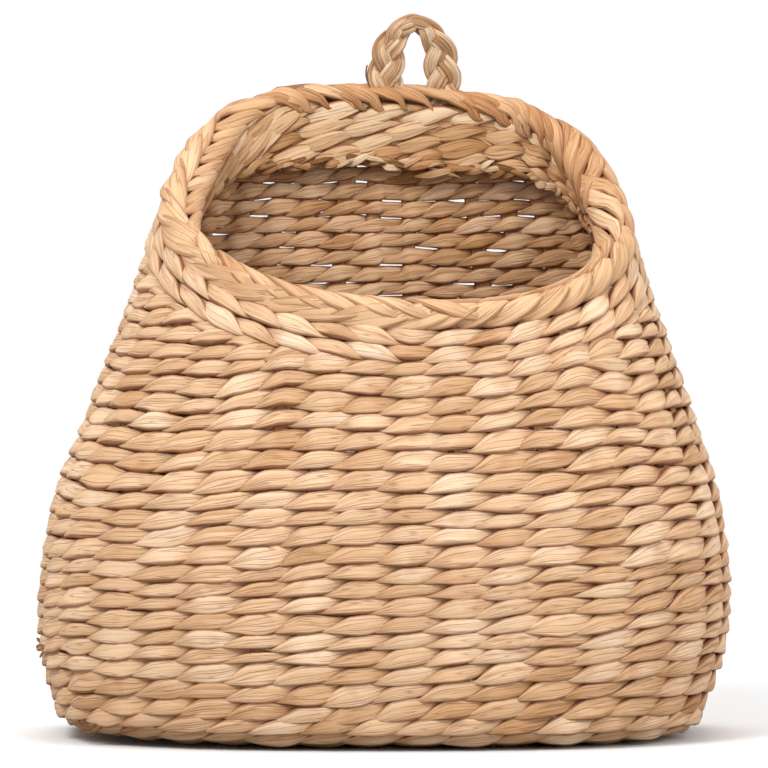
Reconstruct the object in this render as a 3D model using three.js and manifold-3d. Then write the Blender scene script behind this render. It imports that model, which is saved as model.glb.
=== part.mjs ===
// A wall basket twined from dried water hyacinth: a flat back, a bulging front, a slanted mouth with a
// rolled rim and a turned-in cuff, and a plaited loop to hang it by. Millimetres, +Z up, the wall that it
// hangs on at +Y, and the origin under the middle of the basket.
// Stakes run from the rim down the front, across the base and up the back. Each twined course is one ring
// outside the stakes. Packing rows are short courses that fill the back and the sides above the front lip.
import * as THREE from "three";
import Module from "manifold-3d";

// Overall form
const BACK_PLANE = 80; // Y of the face that lies against the wall
const WALL_THICKNESS = 7; // one twined course, both strands and the stake between them
const CLEARANCE = 0.3; // between pieces that touch on the real basket
const RIM_CLEARANCE = 0.9; // the same along the slant of the mouth, where the facets are twisted
const STAKE_HEAD_CLEARANCE = 1.3; // where the stakes turn over into the rim

// The wall at rising heights. Widths and depths are to the middle of the wall's thickness. A lean is how far
// to the right the middle of the width lies, because a basket twined by hand isn't quite even.
const TURN_UP_HEIGHT = 12.6;
const TURN_UP_HALF_WIDTH = 137.8;
const TURN_UP_DEPTH = 149.5;
const TURN_UP_WIDEST = 64; // how far in front of the back the widest line lies
const TURN_UP_LEAN = -2.4;
const FOOT_HEIGHT = 34;
const FOOT_HALF_WIDTH = 144.3;
const FOOT_DEPTH = 152.1;
const FOOT_WIDEST = 64;
const FOOT_LEAN = -0.8;
const BULGE_HEIGHT = 60;
const BULGE_HALF_WIDTH = 146.3;
const BULGE_DEPTH = 152.9;
const BULGE_WIDEST = 64;
const BULGE_LEAN = 0.2;
const BELLY_HEIGHT = 100;
const BELLY_HALF_WIDTH = 141.2;
const BELLY_DEPTH = 150;
const BELLY_WIDEST = 63;
const BELLY_LEAN = 1.2;
const SHOULDER_HEIGHT = 140;
const SHOULDER_HALF_WIDTH = 127.4;
const SHOULDER_DEPTH = 142;
const SHOULDER_WIDEST = 60;
const SHOULDER_LEAN = 2.6;
const LIP_HEIGHT = 188; // middle of the rolled rim at the front
const LIP_HALF_WIDTH = 110.1;
const LIP_DEPTH = 129;
const LIP_WIDEST = 56;
const LIP_LEAN = 3.4;
const MOUTH_HEIGHT = 228;
const MOUTH_HALF_WIDTH = 96.9;
const MOUTH_DEPTH = 98;
const MOUTH_WIDEST = 48;
const MOUTH_LEAN = 3.6;
const RIM_HEIGHT = 264; // the same at the back, before it rises to its arch
const RIM_ARCH = 8; // how much higher the rim is in the middle of the back
const MOUTH_TILT = 0.045; // the mouth drops this much to the right for each millimetre of width
const RIM_HALF_WIDTH = 78;
const RIM_DEPTH = 62;
const RIM_WIDEST = 38;
const RIM_LEAN = 4;
const CROWN_HEIGHT = 285; // the form carried on above the rim, to give the rim its lean
const CROWN_HALF_WIDTH = 60;
const CROWN_DEPTH = 48;
const CROWN_WIDEST = 32;
const CROWN_LEAN = 4.2;
const FRONT_SQUARENESS = 2.5; // exponent of the outline: 2 is an ellipse, more is squarer
const BACK_SQUARENESS = 4.5;
const BACK_FULLNESS = 1.05; // the back bows this much past its plane before it is pressed flat

// Weave
const STAKES = 18; // each stands up twice, at the back and at the front
const FULL_COURSES = 20;
const PACKING_ROWS = 12;
const RIM_COURSES = 2;
const RIM_COURSE_HEIGHT = 7.2;
const COURSE_GROOVE = 1.5; // how far a course's outer face is drawn in, above and below
const SHORTEST_ROW_END = 2.2; // a packing row ends where the rim courses leave it this height
const STAKE_WIDTH = 8;
const STAKE_THICKNESS = 2;
const STAKE_BASE_WIDTH = 6; // the stakes are drawn together under the basket
const STAKE_BASE_SPACING = 13.6;

// Base
const BASE_THICKNESS = 6;
const BASE_CORNER = 16; // how far the wall turns in under the basket
const BASE_FILLET = 0.3; // where the bend inside that corner lies, as a share of its way

// Rolled rim and cuff
const ROLL_HALF_HEIGHT = 7;
const ROLL_CROWN = 1.5; // the roll's top stands this much above its half height
const ROLL_SHOULDER = 0.3; // how far out the roll's shoulders lie, as a share of its thickness
const CUFF_THICKNESS = 3.5;
const CUFF_DEPTH_BACK = 40;
const CUFF_DEPTH_FRONT = 28;
const CUFF_TAPER = 0.6; // the cuff's cut lower edge is this share of its thickness

// Hanging loop, a flat plait that stands on edge at its top
const LOOP_OFFSET_X = 13; // the loop is not in the middle of the back
const LOOP_TOP = 311;
const LOOP_LEG_SPACING = 25;
const LOOP_LEG_WIDTH = 15;
const LOOP_LEG_THICKNESS = 5;
const LOOP_TOP_WIDTH = 8.5;
const LOOP_TOP_THICKNESS = 8;
const LOOP_STRAIGHT = 0.35; // how much of the loop's height its legs run straight
const LOOP_FOOT_TURN = 75; // degrees of the round foot that each leg swings on
const ANCHOR_WIDTH = 10;
const ANCHOR_THICKNESS = 3;
const ANCHOR_DEPTH = 26; // how far the loop's ends reach down behind the cuff
const SLOT_CLEARANCE = 0.4; // between the loop's ends and the rolled rim round them

// Fineness of the faceted solids
const COLUMNS = 2 * STAKES; // one flat facet for each upright stake
const OUTLINE_SAMPLES = 2400;
const NORMAL_STEP = 0.05;
const HALVINGS = 40; // steps of a search between two limits
const PATH_STEP = 0.01;
const CORNER_STEPS = 3;
const LOOP_STEPS = 20;
const LOOP_SIDES = 8;
const LOOP_FOOT_STEPS = 3;
const STAKE_WALL_STEP = 8; // spacing of a stake's bends up the wall, about one to a course
const STAKE_BASE_STEPS = 3; // bends in each half of a stake's run across the base

const wasm = await Module();
wasm.setup();

const HALF_WALL = WALL_THICKNESS / 2;
const BACK_MIDDLE = BACK_PLANE - HALF_WALL;
const STATIONS = [
  [TURN_UP_HEIGHT, TURN_UP_HALF_WIDTH, TURN_UP_DEPTH, TURN_UP_WIDEST, TURN_UP_LEAN],
  [FOOT_HEIGHT, FOOT_HALF_WIDTH, FOOT_DEPTH, FOOT_WIDEST, FOOT_LEAN],
  [BULGE_HEIGHT, BULGE_HALF_WIDTH, BULGE_DEPTH, BULGE_WIDEST, BULGE_LEAN],
  [BELLY_HEIGHT, BELLY_HALF_WIDTH, BELLY_DEPTH, BELLY_WIDEST, BELLY_LEAN],
  [SHOULDER_HEIGHT, SHOULDER_HALF_WIDTH, SHOULDER_DEPTH, SHOULDER_WIDEST, SHOULDER_LEAN],
  [LIP_HEIGHT, LIP_HALF_WIDTH, LIP_DEPTH, LIP_WIDEST, LIP_LEAN],
  [MOUTH_HEIGHT, MOUTH_HALF_WIDTH, MOUTH_DEPTH, MOUTH_WIDEST, MOUTH_LEAN],
  [RIM_HEIGHT, RIM_HALF_WIDTH, RIM_DEPTH, RIM_WIDEST, RIM_LEAN],
  [CROWN_HEIGHT, CROWN_HALF_WIDTH, CROWN_DEPTH, CROWN_WIDEST, CROWN_LEAN],
];

// One value of the stations at height z, on a cubic that passes through every station.
function stationValue(z, which) {
  const last = STATIONS.length - 1;
  let i = 0;
  while (i < last - 1 && z > STATIONS[i + 1][0]) i++;
  const slope = (k) => {
    const a = STATIONS[Math.max(k - 1, 0)];
    const b = STATIONS[Math.min(k + 1, last)];
    return (b[which] - a[which]) / (b[0] - a[0]);
  };
  const [low, high] = [STATIONS[i], STATIONS[i + 1]];
  const span = high[0] - low[0];
  const t = (z - low[0]) / span;
  return (
    (2 * t ** 3 - 3 * t ** 2 + 1) * low[which] +
    (t ** 3 - 2 * t ** 2 + t) * span * slope(i) +
    (3 * t ** 2 - 2 * t ** 3) * high[which] +
    (t ** 3 - t ** 2) * span * slope(i + 1)
  );
}

// A point on the middle of the wall. The turn runs from 0 at the middle of the back, by +X, round the
// front.
function wallPoint(turn, z) {
  const [across, along] = [Math.sin(turn), Math.cos(turn)];
  const halfWidth = stationValue(z, 1);
  const depth = stationValue(z, 2);
  const widest = stationValue(z, 3);
  const lean = stationValue(z, 4);
  const squareness = along > 0 ? BACK_SQUARENESS : FRONT_SQUARENESS;
  const power = (value) => Math.abs(value) ** (2 / squareness);
  const x = lean + Math.sign(across) * halfWidth * power(across);
  const y =
    along > 0
      ? Math.min(BACK_MIDDLE, BACK_MIDDLE - widest + BACK_FULLNESS * widest * power(along))
      : BACK_MIDDLE - widest - (depth - widest) * power(along);
  return new THREE.Vector3(x, y, z);
}

// The wall's outward direction there.
function wallNormal(turn, z) {
  const round = wallPoint(turn + NORMAL_STEP, z).sub(wallPoint(turn - NORMAL_STEP, z));
  const up = wallPoint(turn, z + 1).sub(wallPoint(turn, z - 1));
  return up.cross(round).normalize();
}

// The turn at each column, an equal way apart round the bulge, with the middle of the back as column 0.
function columnTurns() {
  const lengths = [0];
  const turnOf = (k) => (k / OUTLINE_SAMPLES) * 2 * Math.PI;
  for (let k = 1; k <= OUTLINE_SAMPLES; k++) {
    const step = wallPoint(turnOf(k), BULGE_HEIGHT).distanceTo(wallPoint(turnOf(k - 1), BULGE_HEIGHT));
    lengths.push(lengths[k - 1] + step);
  }
  const turns = [];
  for (let i = 0, k = 0; i < COLUMNS; i++) {
    const wanted = (lengths[OUTLINE_SAMPLES] * i) / COLUMNS;
    while (lengths[k + 1] < wanted) k++;
    turns.push(turnOf(k + (wanted - lengths[k]) / (lengths[k + 1] - lengths[k])));
  }
  return turns;
}
const TURNS = columnTurns();
const column = (i) => ((i % COLUMNS) + COLUMNS) % COLUMNS;

// A point of the faceted wall: u counts columns, z is the height and out is the distance outwards.
function wallAt(u, z, out) {
  const corner = (i) => {
    const turn = TURNS[column(i)];
    return wallPoint(turn, z).addScaledVector(wallNormal(turn, z), out);
  };
  const i = Math.floor(u);
  return u === i ? corner(i) : corner(i).lerp(corner(i + 1), u - i);
}

// Height of the rim at a turn: the mouth slants from the lip up to the back, where it is arched.
const MOUTH_SLOPE = (RIM_HEIGHT - LIP_HEIGHT) / LIP_DEPTH;
function rimHeight(turn) {
  let [low, high] = [LIP_HEIGHT - ROLL_HALF_HEIGHT, CROWN_HEIGHT];
  for (let k = 0; k < HALVINGS; k++) {
    const z = (low + high) / 2;
    const { x, y } = wallPoint(turn, z);
    const aside = x - stationValue(z, 4);
    const forward = (BACK_MIDDLE - y) / LIP_DEPTH;
    const arch = RIM_ARCH * (1 - (aside / RIM_HALF_WIDTH) ** 2) * (1 - forward);
    const mouth = RIM_HEIGHT - MOUTH_SLOPE * (BACK_MIDDLE - y) + arch - MOUTH_TILT * aside;
    if (z < mouth) low = z;
    else high = z;
  }
  return (low + high) / 2;
}
const RIM = TURNS.map(rimHeight);

// How many millimetres of height one millimetre square to the rim takes at a column.
const RIM_STRETCH = TURNS.map((turn, i) => {
  const [a, b] = [column(i - 1), column(i + 1)];
  const along = wallPoint(TURNS[b], RIM[b]).sub(wallPoint(TURNS[a], RIM[a]));
  return Math.hypot(1, along.z / Math.hypot(along.x, along.y));
});

// Height at a column, a distance below the middle of the rim.
const belowRim = (i, distance) => RIM[column(i)] - distance * RIM_STRETCH[column(i)];

// The same between columns.
function belowRimAt(u, distance) {
  const i = Math.floor(u);
  return THREE.MathUtils.lerp(belowRim(i, distance), belowRim(i + 1, distance), u - i);
}

// A closed body through rings of points. Rings run anticlockwise as seen from the next ring. Each facet is
// split along its shorter diagonal, so that neighbours that share a twisted face are split alike.
function loft(rings, isLoop) {
  const sides = rings[0].length;
  const points = rings.flat();
  const positions = points.flatMap((p) => [p.x, p.y, p.z]);
  const faces = [];
  const steps = isLoop ? rings.length : rings.length - 1;
  for (let r = 0; r < steps; r++)
    for (let s = 0; s < sides; s++) {
      const a = r * sides + s;
      const b = r * sides + ((s + 1) % sides);
      const c = ((r + 1) % rings.length) * sides + s;
      const d = ((r + 1) % rings.length) * sides + ((s + 1) % sides);
      if (points[a].distanceTo(points[d]) <= points[b].distanceTo(points[c])) faces.push(a, b, d, a, d, c);
      else faces.push(a, b, c, b, d, c);
    }
  if (!isLoop)
    for (let s = 1; s < sides - 1; s++) {
      const end = (rings.length - 1) * sides;
      faces.push(0, s + 1, s, end, end + s, end + s + 1);
    }
  const geometry = new THREE.BufferGeometry();
  geometry.setAttribute("position", new THREE.Float32BufferAttribute(positions, 3));
  geometry.setIndex(faces);
  geometry.computeVertexNormals();
  return geometry;
}

const FIBRE = { roughness: 0.75, metalness: 0 };
const COLOURS = {
  weft: "#d8ac82",
  stake: "#c99a6b",
  border: "#dcb287",
  cuff: "#c79a72",
  loop: "#cfa679",
};
const materials = Object.fromEntries(
  Object.entries(COLOURS).map(([name, color]) => [
    name,
    new THREE.MeshStandardMaterial({ color, ...FIBRE }),
  ]),
);

const basket = new THREE.Group();

function addPiece(name, geometry, material) {
  const mesh = new THREE.Mesh(geometry, material);
  mesh.name = name;
  basket.add(mesh);
}

// The section of a course at u, between two heights: its inner face is whole, its outer face drawn in.
function courseSection(u, low, high) {
  const groove = Math.min(COURSE_GROOVE, (high - low) / 4);
  return [
    wallAt(u, low, -HALF_WALL),
    wallAt(u, low + groove, HALF_WALL),
    wallAt(u, high - groove, HALF_WALL),
    wallAt(u, high, -HALF_WALL),
  ];
}

const ROLL_FOOT = ROLL_HALF_HEIGHT;
const BAND_FOOT = ROLL_FOOT + RIM_COURSES * RIM_COURSE_HEIGHT;
const FULL_COURSES_TOP = Math.min(...RIM.map((_, i) => belowRim(i, BAND_FOOT + RIM_CLEARANCE)));

// Full courses: closed rings up to the level of the front lip.
function addFullCourses() {
  const pitch = (FULL_COURSES_TOP - TURN_UP_HEIGHT) / FULL_COURSES;
  for (let k = 0; k < FULL_COURSES; k++) {
    const low = TURN_UP_HEIGHT + k * pitch + CLEARANCE;
    const high = TURN_UP_HEIGHT + (k + 1) * pitch;
    const rings = TURNS.map((_, i) => courseSection(i, low, high));
    addPiece(`course_${String(k + 1).padStart(2, "0")}`, loft(rings, true), materials.weft);
  }
}

// Packing rows: open bands round the back, cut off where the rim courses slant down across them.
function addPackingRows() {
  const top = belowRim(0, BAND_FOOT);
  const pitch = (top - FULL_COURSES_TOP) / PACKING_ROWS;
  for (let k = 0; k < PACKING_ROWS; k++) {
    const low = FULL_COURSES_TOP + k * pitch + CLEARANCE;
    const high = (u) =>
      Math.min(FULL_COURSES_TOP + (k + 1) * pitch, belowRimAt(u, BAND_FOOT) - CLEARANCE);
    const left = packingReach(low, high, -1);
    const right = packingReach(low, high, 1);
    const stops = [left];
    for (let i = Math.floor(left) + 1; i < right; i++) stops.push(i);
    stops.push(right);
    const rings = stops.map((u) => courseSection(u, low, high(u)));
    addPiece(`packing_row_${String(k + 1).padStart(2, "0")}`, loft(rings, false), materials.weft);
  }
}

// Where a packing row ends, in columns from the middle of the back, to the left (-1) or the right (1).
function packingReach(low, high, side) {
  let [inside, outside] = [0, COLUMNS / 2];
  for (let k = 0; k < HALVINGS; k++) {
    const u = (inside + outside) / 2;
    if (high(side * u) - low > SHORTEST_ROW_END) inside = u;
    else outside = u;
  }
  return side * inside;
}

// Rim courses: closed rings parallel to the mouth.
function addRimCourses() {
  for (let k = 0; k < RIM_COURSES; k++) {
    const foot = BAND_FOOT - k * RIM_COURSE_HEIGHT;
    const rings = TURNS.map((_, i) =>
      courseSection(i, belowRim(i, foot), belowRim(i, foot - RIM_COURSE_HEIGHT + RIM_CLEARANCE)),
    );
    addPiece(`rim_course_${String(k + 1).padStart(2, "0")}`, loft(rings, true), materials.weft);
  }
}

// Places across the thickness of the rim, from the wall inwards.
const STAKE_OUTER = -HALF_WALL - CLEARANCE;
const STAKE_INNER = STAKE_OUTER - STAKE_THICKNESS;
const ANCHOR_OUTER = STAKE_INNER - SLOT_CLEARANCE;
const ANCHOR_INNER = ANCHOR_OUTER - ANCHOR_THICKNESS;
const CUFF_OUTER = ANCHOR_INNER - SLOT_CLEARANCE;
const CUFF_INNER = CUFF_OUTER - CUFF_THICKNESS;

// The cuff: the wall's top, folded in through the mouth and cut off below it.
function addCuff() {
  const rings = TURNS.map((turn, i) => {
    const backShare = (1 + Math.cos(turn)) / 2;
    const depth = THREE.MathUtils.lerp(CUFF_DEPTH_FRONT, CUFF_DEPTH_BACK, backShare);
    const foot = belowRim(i, depth);
    const head = belowRim(i, ROLL_FOOT + RIM_CLEARANCE);
    const middle = (foot + head) / 2;
    const edge = (CUFF_THICKNESS * (1 - CUFF_TAPER)) / 2;
    return [
      wallAt(i, foot, CUFF_INNER + edge),
      wallAt(i, foot, CUFF_OUTER - edge),
      wallAt(i, middle, CUFF_OUTER),
      wallAt(i, head, CUFF_OUTER),
      wallAt(i, head, CUFF_INNER),
      wallAt(i, middle, CUFF_INNER),
    ];
  });
  addPiece("inner_cuff", loft(rings, true), materials.cuff);
}

// A mesh's geometry as a manifold solid, and back.
function toSolid(geometry) {
  const vertProperties = new Float32Array(geometry.attributes.position.array);
  return new wasm.Manifold(
    new wasm.Mesh({ numProp: 3, vertProperties, triVerts: new Uint32Array(geometry.index.array) }),
  );
}

function toGeometry(solid) {
  const { vertProperties, triVerts } = solid.getMesh();
  const geometry = new THREE.BufferGeometry();
  geometry.setAttribute("position", new THREE.BufferAttribute(vertProperties, 3));
  geometry.setIndex(new THREE.BufferAttribute(triVerts, 1));
  geometry.computeVertexNormals();
  return geometry;
}

const ROLL_TOP = RIM[0] + ROLL_HALF_HEIGHT + ROLL_CROWN;
const LOOP_Y = BACK_MIDDLE + (ANCHOR_OUTER + ANCHOR_INNER) / 2;
const LEG_X = [-LOOP_LEG_SPACING / 2, LOOP_LEG_SPACING / 2].map((x) => x + LOOP_OFFSET_X);

// The rolled rim: rounded above, flat where it sits on the wall, the stakes and the cuff. The loop's ends
// pass up through two slots.
function addRimRoll() {
  const middle = (HALF_WALL + CUFF_INNER) / 2;
  const shoulder = (HALF_WALL - CUFF_INNER) * ROLL_SHOULDER;
  const rings = TURNS.map((_, i) => {
    const at = (out, up) => wallAt(i, RIM[i] + up * RIM_STRETCH[i], out);
    return [
      at(CUFF_INNER, -ROLL_HALF_HEIGHT),
      at(CUFF_OUTER, -ROLL_HALF_HEIGHT),
      at(-HALF_WALL, -ROLL_HALF_HEIGHT),
      at(HALF_WALL, -ROLL_HALF_HEIGHT),
      at(HALF_WALL, 0),
      at(middle + shoulder, ROLL_HALF_HEIGHT - ROLL_CROWN),
      at(middle, ROLL_HALF_HEIGHT + ROLL_CROWN),
      at(middle - shoulder, ROLL_HALF_HEIGHT - ROLL_CROWN),
      at(CUFF_INNER, 0),
    ];
  });
  let roll = toSolid(loft(rings, true));
  for (const x of LEG_X) {
    const slot = new THREE.BoxGeometry(
      ANCHOR_WIDTH + 2 * SLOT_CLEARANCE,
      ANCHOR_THICKNESS + 2 * SLOT_CLEARANCE,
      4 * ROLL_HALF_HEIGHT,
    );
    slot.translate(x, LOOP_Y, RIM[0]);
    roll = roll.subtract(toSolid(weld(slot)));
  }
  addPiece("rim_roll", toGeometry(roll), materials.border);
}

// A geometry with its corners shared, as a closed solid needs.
function weld(geometry) {
  const points = [];
  const found = new Map();
  const { array, count } = geometry.attributes.position;
  const shared = Array.from({ length: count }, (_, i) => {
    const key = [0, 1, 2].map((k) => array[3 * i + k].toFixed(4)).join();
    if (!found.has(key)) {
      found.set(key, found.size);
      points.push(array[3 * i], array[3 * i + 1], array[3 * i + 2]);
    }
    return found.get(key);
  });
  const order = geometry.index ? Array.from(geometry.index.array) : shared.map((_, i) => i);
  const welded = new THREE.BufferGeometry();
  welded.setAttribute("position", new THREE.Float32BufferAttribute(points, 3));
  welded.setIndex(order.map((i) => shared[i]));
  return welded;
}

// The base: a twined mat whose edge turns up to carry the first course.
function addBaseMat() {
  const outline = (inset, z) =>
    TURNS.map((turn) => {
      const normal = wallNormal(turn, TURN_UP_HEIGHT).setZ(0).normalize();
      return wallPoint(turn, TURN_UP_HEIGHT).addScaledVector(normal, -inset).setZ(z);
    }).reverse();
  const rings = [];
  for (let k = 0; k <= CORNER_STEPS; k++) {
    const angle = (k / CORNER_STEPS) * (Math.PI / 2);
    const inset = BASE_CORNER * (1 - Math.cos(angle));
    rings.push(outline(inset - HALF_WALL, TURN_UP_HEIGHT * (1 - Math.sin(angle))));
  }
  rings.reverse();
  const inner = BASE_CORNER - WALL_THICKNESS;
  rings.push(outline(HALF_WALL, TURN_UP_HEIGHT));
  const bend = THREE.MathUtils.lerp(BASE_THICKNESS, TURN_UP_HEIGHT, BASE_FILLET);
  rings.push(outline(HALF_WALL + inner * BASE_FILLET, bend));
  rings.push(outline(HALF_WALL + inner, BASE_THICKNESS));
  addPiece("base_mat", loft(rings, false), materials.weft);
}

// Stakes: each runs from the rim down the back, across the base and up to the rim at the front.
function addStakes() {
  for (let k = 0; k < STAKES; k++) {
    const back = k - STAKES / 2 + 0.5;
    const front = COLUMNS / 2 - back;
    const rings = [
      ...stakeUpright(back, 1).reverse(),
      ...stakeAcrossBase(back, front),
      ...stakeUpright(front, -1),
    ];
    addPiece(`stake_${String(k + 1).padStart(2, "0")}`, loft(rings, false), materials.stake);
  }
}

// One upright of a stake, from the base to the rim, as rings of four corners.
function stakeUpright(u, side) {
  const foot = TURN_UP_HEIGHT + STAKE_THICKNESS;
  const headAt = (v) => belowRimAt(v, ROLL_FOOT + STAKE_HEAD_CLEARANCE);
  const steps = Math.ceil((headAt(u) - foot) / STAKE_WALL_STEP);
  return Array.from({ length: steps + 1 }, (_, k) => {
    const z = THREE.MathUtils.lerp(foot, headAt(u), k / steps);
    const facet = wallAt(Math.floor(u), z, 0).distanceTo(wallAt(Math.ceil(u), z, 0));
    const half = STAKE_WIDTH / 2 / facet;
    const at = (v, out) => wallAt(v, THREE.MathUtils.lerp(foot, headAt(v), k / steps), out);
    return orderedSection(side, [
      at(u - half, STAKE_OUTER),
      at(u + half, STAKE_OUTER),
      at(u + half, STAKE_INNER),
      at(u - half, STAKE_INNER),
    ]);
  });
}

// A stake's run across the base: the stakes draw together there, bending least in the middle.
function stakeAcrossBase(back, front) {
  const low = BASE_THICKNESS + CLEARANCE;
  const inset = BASE_CORNER - HALF_WALL + STAKE_THICKNESS;
  const [start, end] = [back, front].map((u) => wallAt(u, TURN_UP_HEIGHT, -inset));
  const middle = new THREE.Vector3(back * STAKE_BASE_SPACING, (start.y + end.y) / 2, 0);
  const path = (t) => {
    const from = t < 0 ? start : end;
    return new THREE.Vector3(
      THREE.MathUtils.lerp(middle.x, from.x, t * t),
      THREE.MathUtils.lerp(middle.y, from.y, Math.abs(t)),
      0,
    );
  };
  const rings = [];
  for (let k = -STAKE_BASE_STEPS; k <= STAKE_BASE_STEPS; k++) {
    if (k === 0) continue;
    const t = k / STAKE_BASE_STEPS;
    const along = path(t + PATH_STEP).sub(path(t - PATH_STEP)).normalize();
    const across = new THREE.Vector3(-along.y, along.x, 0).multiplyScalar(STAKE_BASE_WIDTH / 2);
    const [left, right] = [path(t).sub(across), path(t).add(across)];
    rings.push([
      left.clone().setZ(low),
      right.clone().setZ(low),
      right.clone().setZ(low + STAKE_THICKNESS),
      left.clone().setZ(low + STAKE_THICKNESS),
    ]);
  }
  return rings;
}

// The front of a stake meets its back turned round, so its corners are taken the other way.
const orderedSection = (side, corners) =>
  side > 0 ? corners : [corners[1], corners[0], corners[3], corners[2]];

// A flat oval section of the loop, centred on the path and square to it.
function loopSection(centre, along, width, thickness) {
  const across = new THREE.Vector3(0, 1, 0).cross(along).normalize();
  return Array.from({ length: LOOP_SIDES }, (_, k) => {
    const angle = ((k + 0.5) / LOOP_SIDES) * 2 * Math.PI;
    return centre
      .clone()
      .addScaledVector(across, (Math.cos(angle) * width) / 2)
      .add(new THREE.Vector3(0, (Math.sin(angle) * thickness) / 2, 0));
  });
}

const PIVOT_Z = ROLL_TOP + CLEARANCE + LOOP_LEG_THICKNESS / 2;

// The hanging loop: an arch that swings on the line where its legs leave the rim, with rounded feet.
function addHangingLoop() {
  const legHeight = (LOOP_TOP - PIVOT_Z) * LOOP_STRAIGHT;
  const rise = LOOP_TOP - LOOP_TOP_WIDTH / 2 - PIVOT_Z - legHeight;
  const half = LOOP_LEG_SPACING / 2;
  const path = (t) => {
    const angle = Math.PI * (1 - t);
    return new THREE.Vector3(
      LOOP_OFFSET_X + half * Math.cos(angle),
      LOOP_Y,
      PIVOT_Z + legHeight + rise * Math.sin(angle),
    );
  };
  const rings = [];
  for (let k = LOOP_FOOT_STEPS; k >= 0; k--) rings.push(loopFoot(LEG_X[0], k, 1));
  for (let k = 0; k <= LOOP_STEPS; k++) {
    const t = k / LOOP_STEPS;
    const along = path(t + PATH_STEP).sub(path(t - PATH_STEP)).normalize();
    const top = Math.sin(Math.PI * t) ** 2;
    const width = THREE.MathUtils.lerp(LOOP_LEG_WIDTH, LOOP_TOP_WIDTH, top);
    const thickness = THREE.MathUtils.lerp(LOOP_LEG_THICKNESS, LOOP_TOP_THICKNESS, top);
    rings.push(loopSection(path(t), along, width, thickness));
  }
  for (let k = 0; k <= LOOP_FOOT_STEPS; k++) rings.push(loopFoot(LEG_X[1], k, -1));
  addPiece("hanging_loop", loft(rings, false), materials.loop);
}

// A rounded foot round the line that the loop swings on.
function loopFoot(x, step, up) {
  const angle = (step / LOOP_FOOT_STEPS) * THREE.MathUtils.degToRad(LOOP_FOOT_TURN);
  const centre = new THREE.Vector3(x, LOOP_Y, PIVOT_Z - (LOOP_LEG_THICKNESS / 2) * Math.sin(angle));
  const along = new THREE.Vector3(0, 0, up);
  return loopSection(centre, along, LOOP_LEG_WIDTH, LOOP_LEG_THICKNESS * Math.cos(angle));
}

// The loop's hidden half: a strap that comes down through the rim, behind the cuff, and up again.
function addLoopAnchor() {
  const low = RIM[0] - ANCHOR_DEPTH;
  const outer = LOOP_LEG_SPACING / 2 + ANCHOR_WIDTH / 2;
  const inner = LOOP_LEG_SPACING / 2 - ANCHOR_WIDTH / 2;
  const outline = new THREE.Shape();
  outline.moveTo(-outer, ROLL_TOP);
  outline.lineTo(-outer, low + ANCHOR_WIDTH);
  outline.quadraticCurveTo(-outer, low, -inner, low);
  outline.lineTo(inner, low);
  outline.quadraticCurveTo(outer, low, outer, low + ANCHOR_WIDTH);
  outline.lineTo(outer, ROLL_TOP);
  outline.lineTo(inner, ROLL_TOP);
  outline.lineTo(inner, low + ANCHOR_WIDTH);
  outline.lineTo(-inner, low + ANCHOR_WIDTH);
  outline.lineTo(-inner, ROLL_TOP);
  const strap = new THREE.ExtrudeGeometry(outline, {
    depth: ANCHOR_THICKNESS,
    bevelEnabled: false,
    curveSegments: 4,
  });
  strap.rotateX(Math.PI / 2);
  strap.translate(LOOP_OFFSET_X, LOOP_Y + ANCHOR_THICKNESS / 2, 0);
  addPiece("loop_anchor", weld(strap), materials.loop);
}

addBaseMat();
addStakes();
addFullCourses();
addPackingRows();
addRimCourses();
addCuff();
addRimRoll();
addLoopAnchor();
addHangingLoop();

export default basket;
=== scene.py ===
import math

import bpy
import numpy as np
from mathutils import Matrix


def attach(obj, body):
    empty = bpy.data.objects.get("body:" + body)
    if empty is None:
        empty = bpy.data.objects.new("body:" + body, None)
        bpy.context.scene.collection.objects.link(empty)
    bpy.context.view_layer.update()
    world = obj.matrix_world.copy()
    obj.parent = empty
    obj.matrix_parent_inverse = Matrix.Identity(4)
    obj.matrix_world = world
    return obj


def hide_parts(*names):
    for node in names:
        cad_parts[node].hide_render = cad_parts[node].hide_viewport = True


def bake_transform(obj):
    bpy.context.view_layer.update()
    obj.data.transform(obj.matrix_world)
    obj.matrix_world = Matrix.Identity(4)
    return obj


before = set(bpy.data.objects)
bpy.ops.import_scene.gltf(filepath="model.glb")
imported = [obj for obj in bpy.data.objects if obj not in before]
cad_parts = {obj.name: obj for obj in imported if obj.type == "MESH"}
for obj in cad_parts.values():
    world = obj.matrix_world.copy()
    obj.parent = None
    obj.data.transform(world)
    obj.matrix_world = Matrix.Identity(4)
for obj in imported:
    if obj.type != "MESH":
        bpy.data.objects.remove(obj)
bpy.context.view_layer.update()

# Stakes: eighteen soft uprights of dried water hyacinth leaf. Each hangs down the back from the rim, runs
# across the base and climbs the front. The weft is twined round them in pairs, so they show only where
# two stitches part.

MILLIMETRE = 0.001

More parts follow.
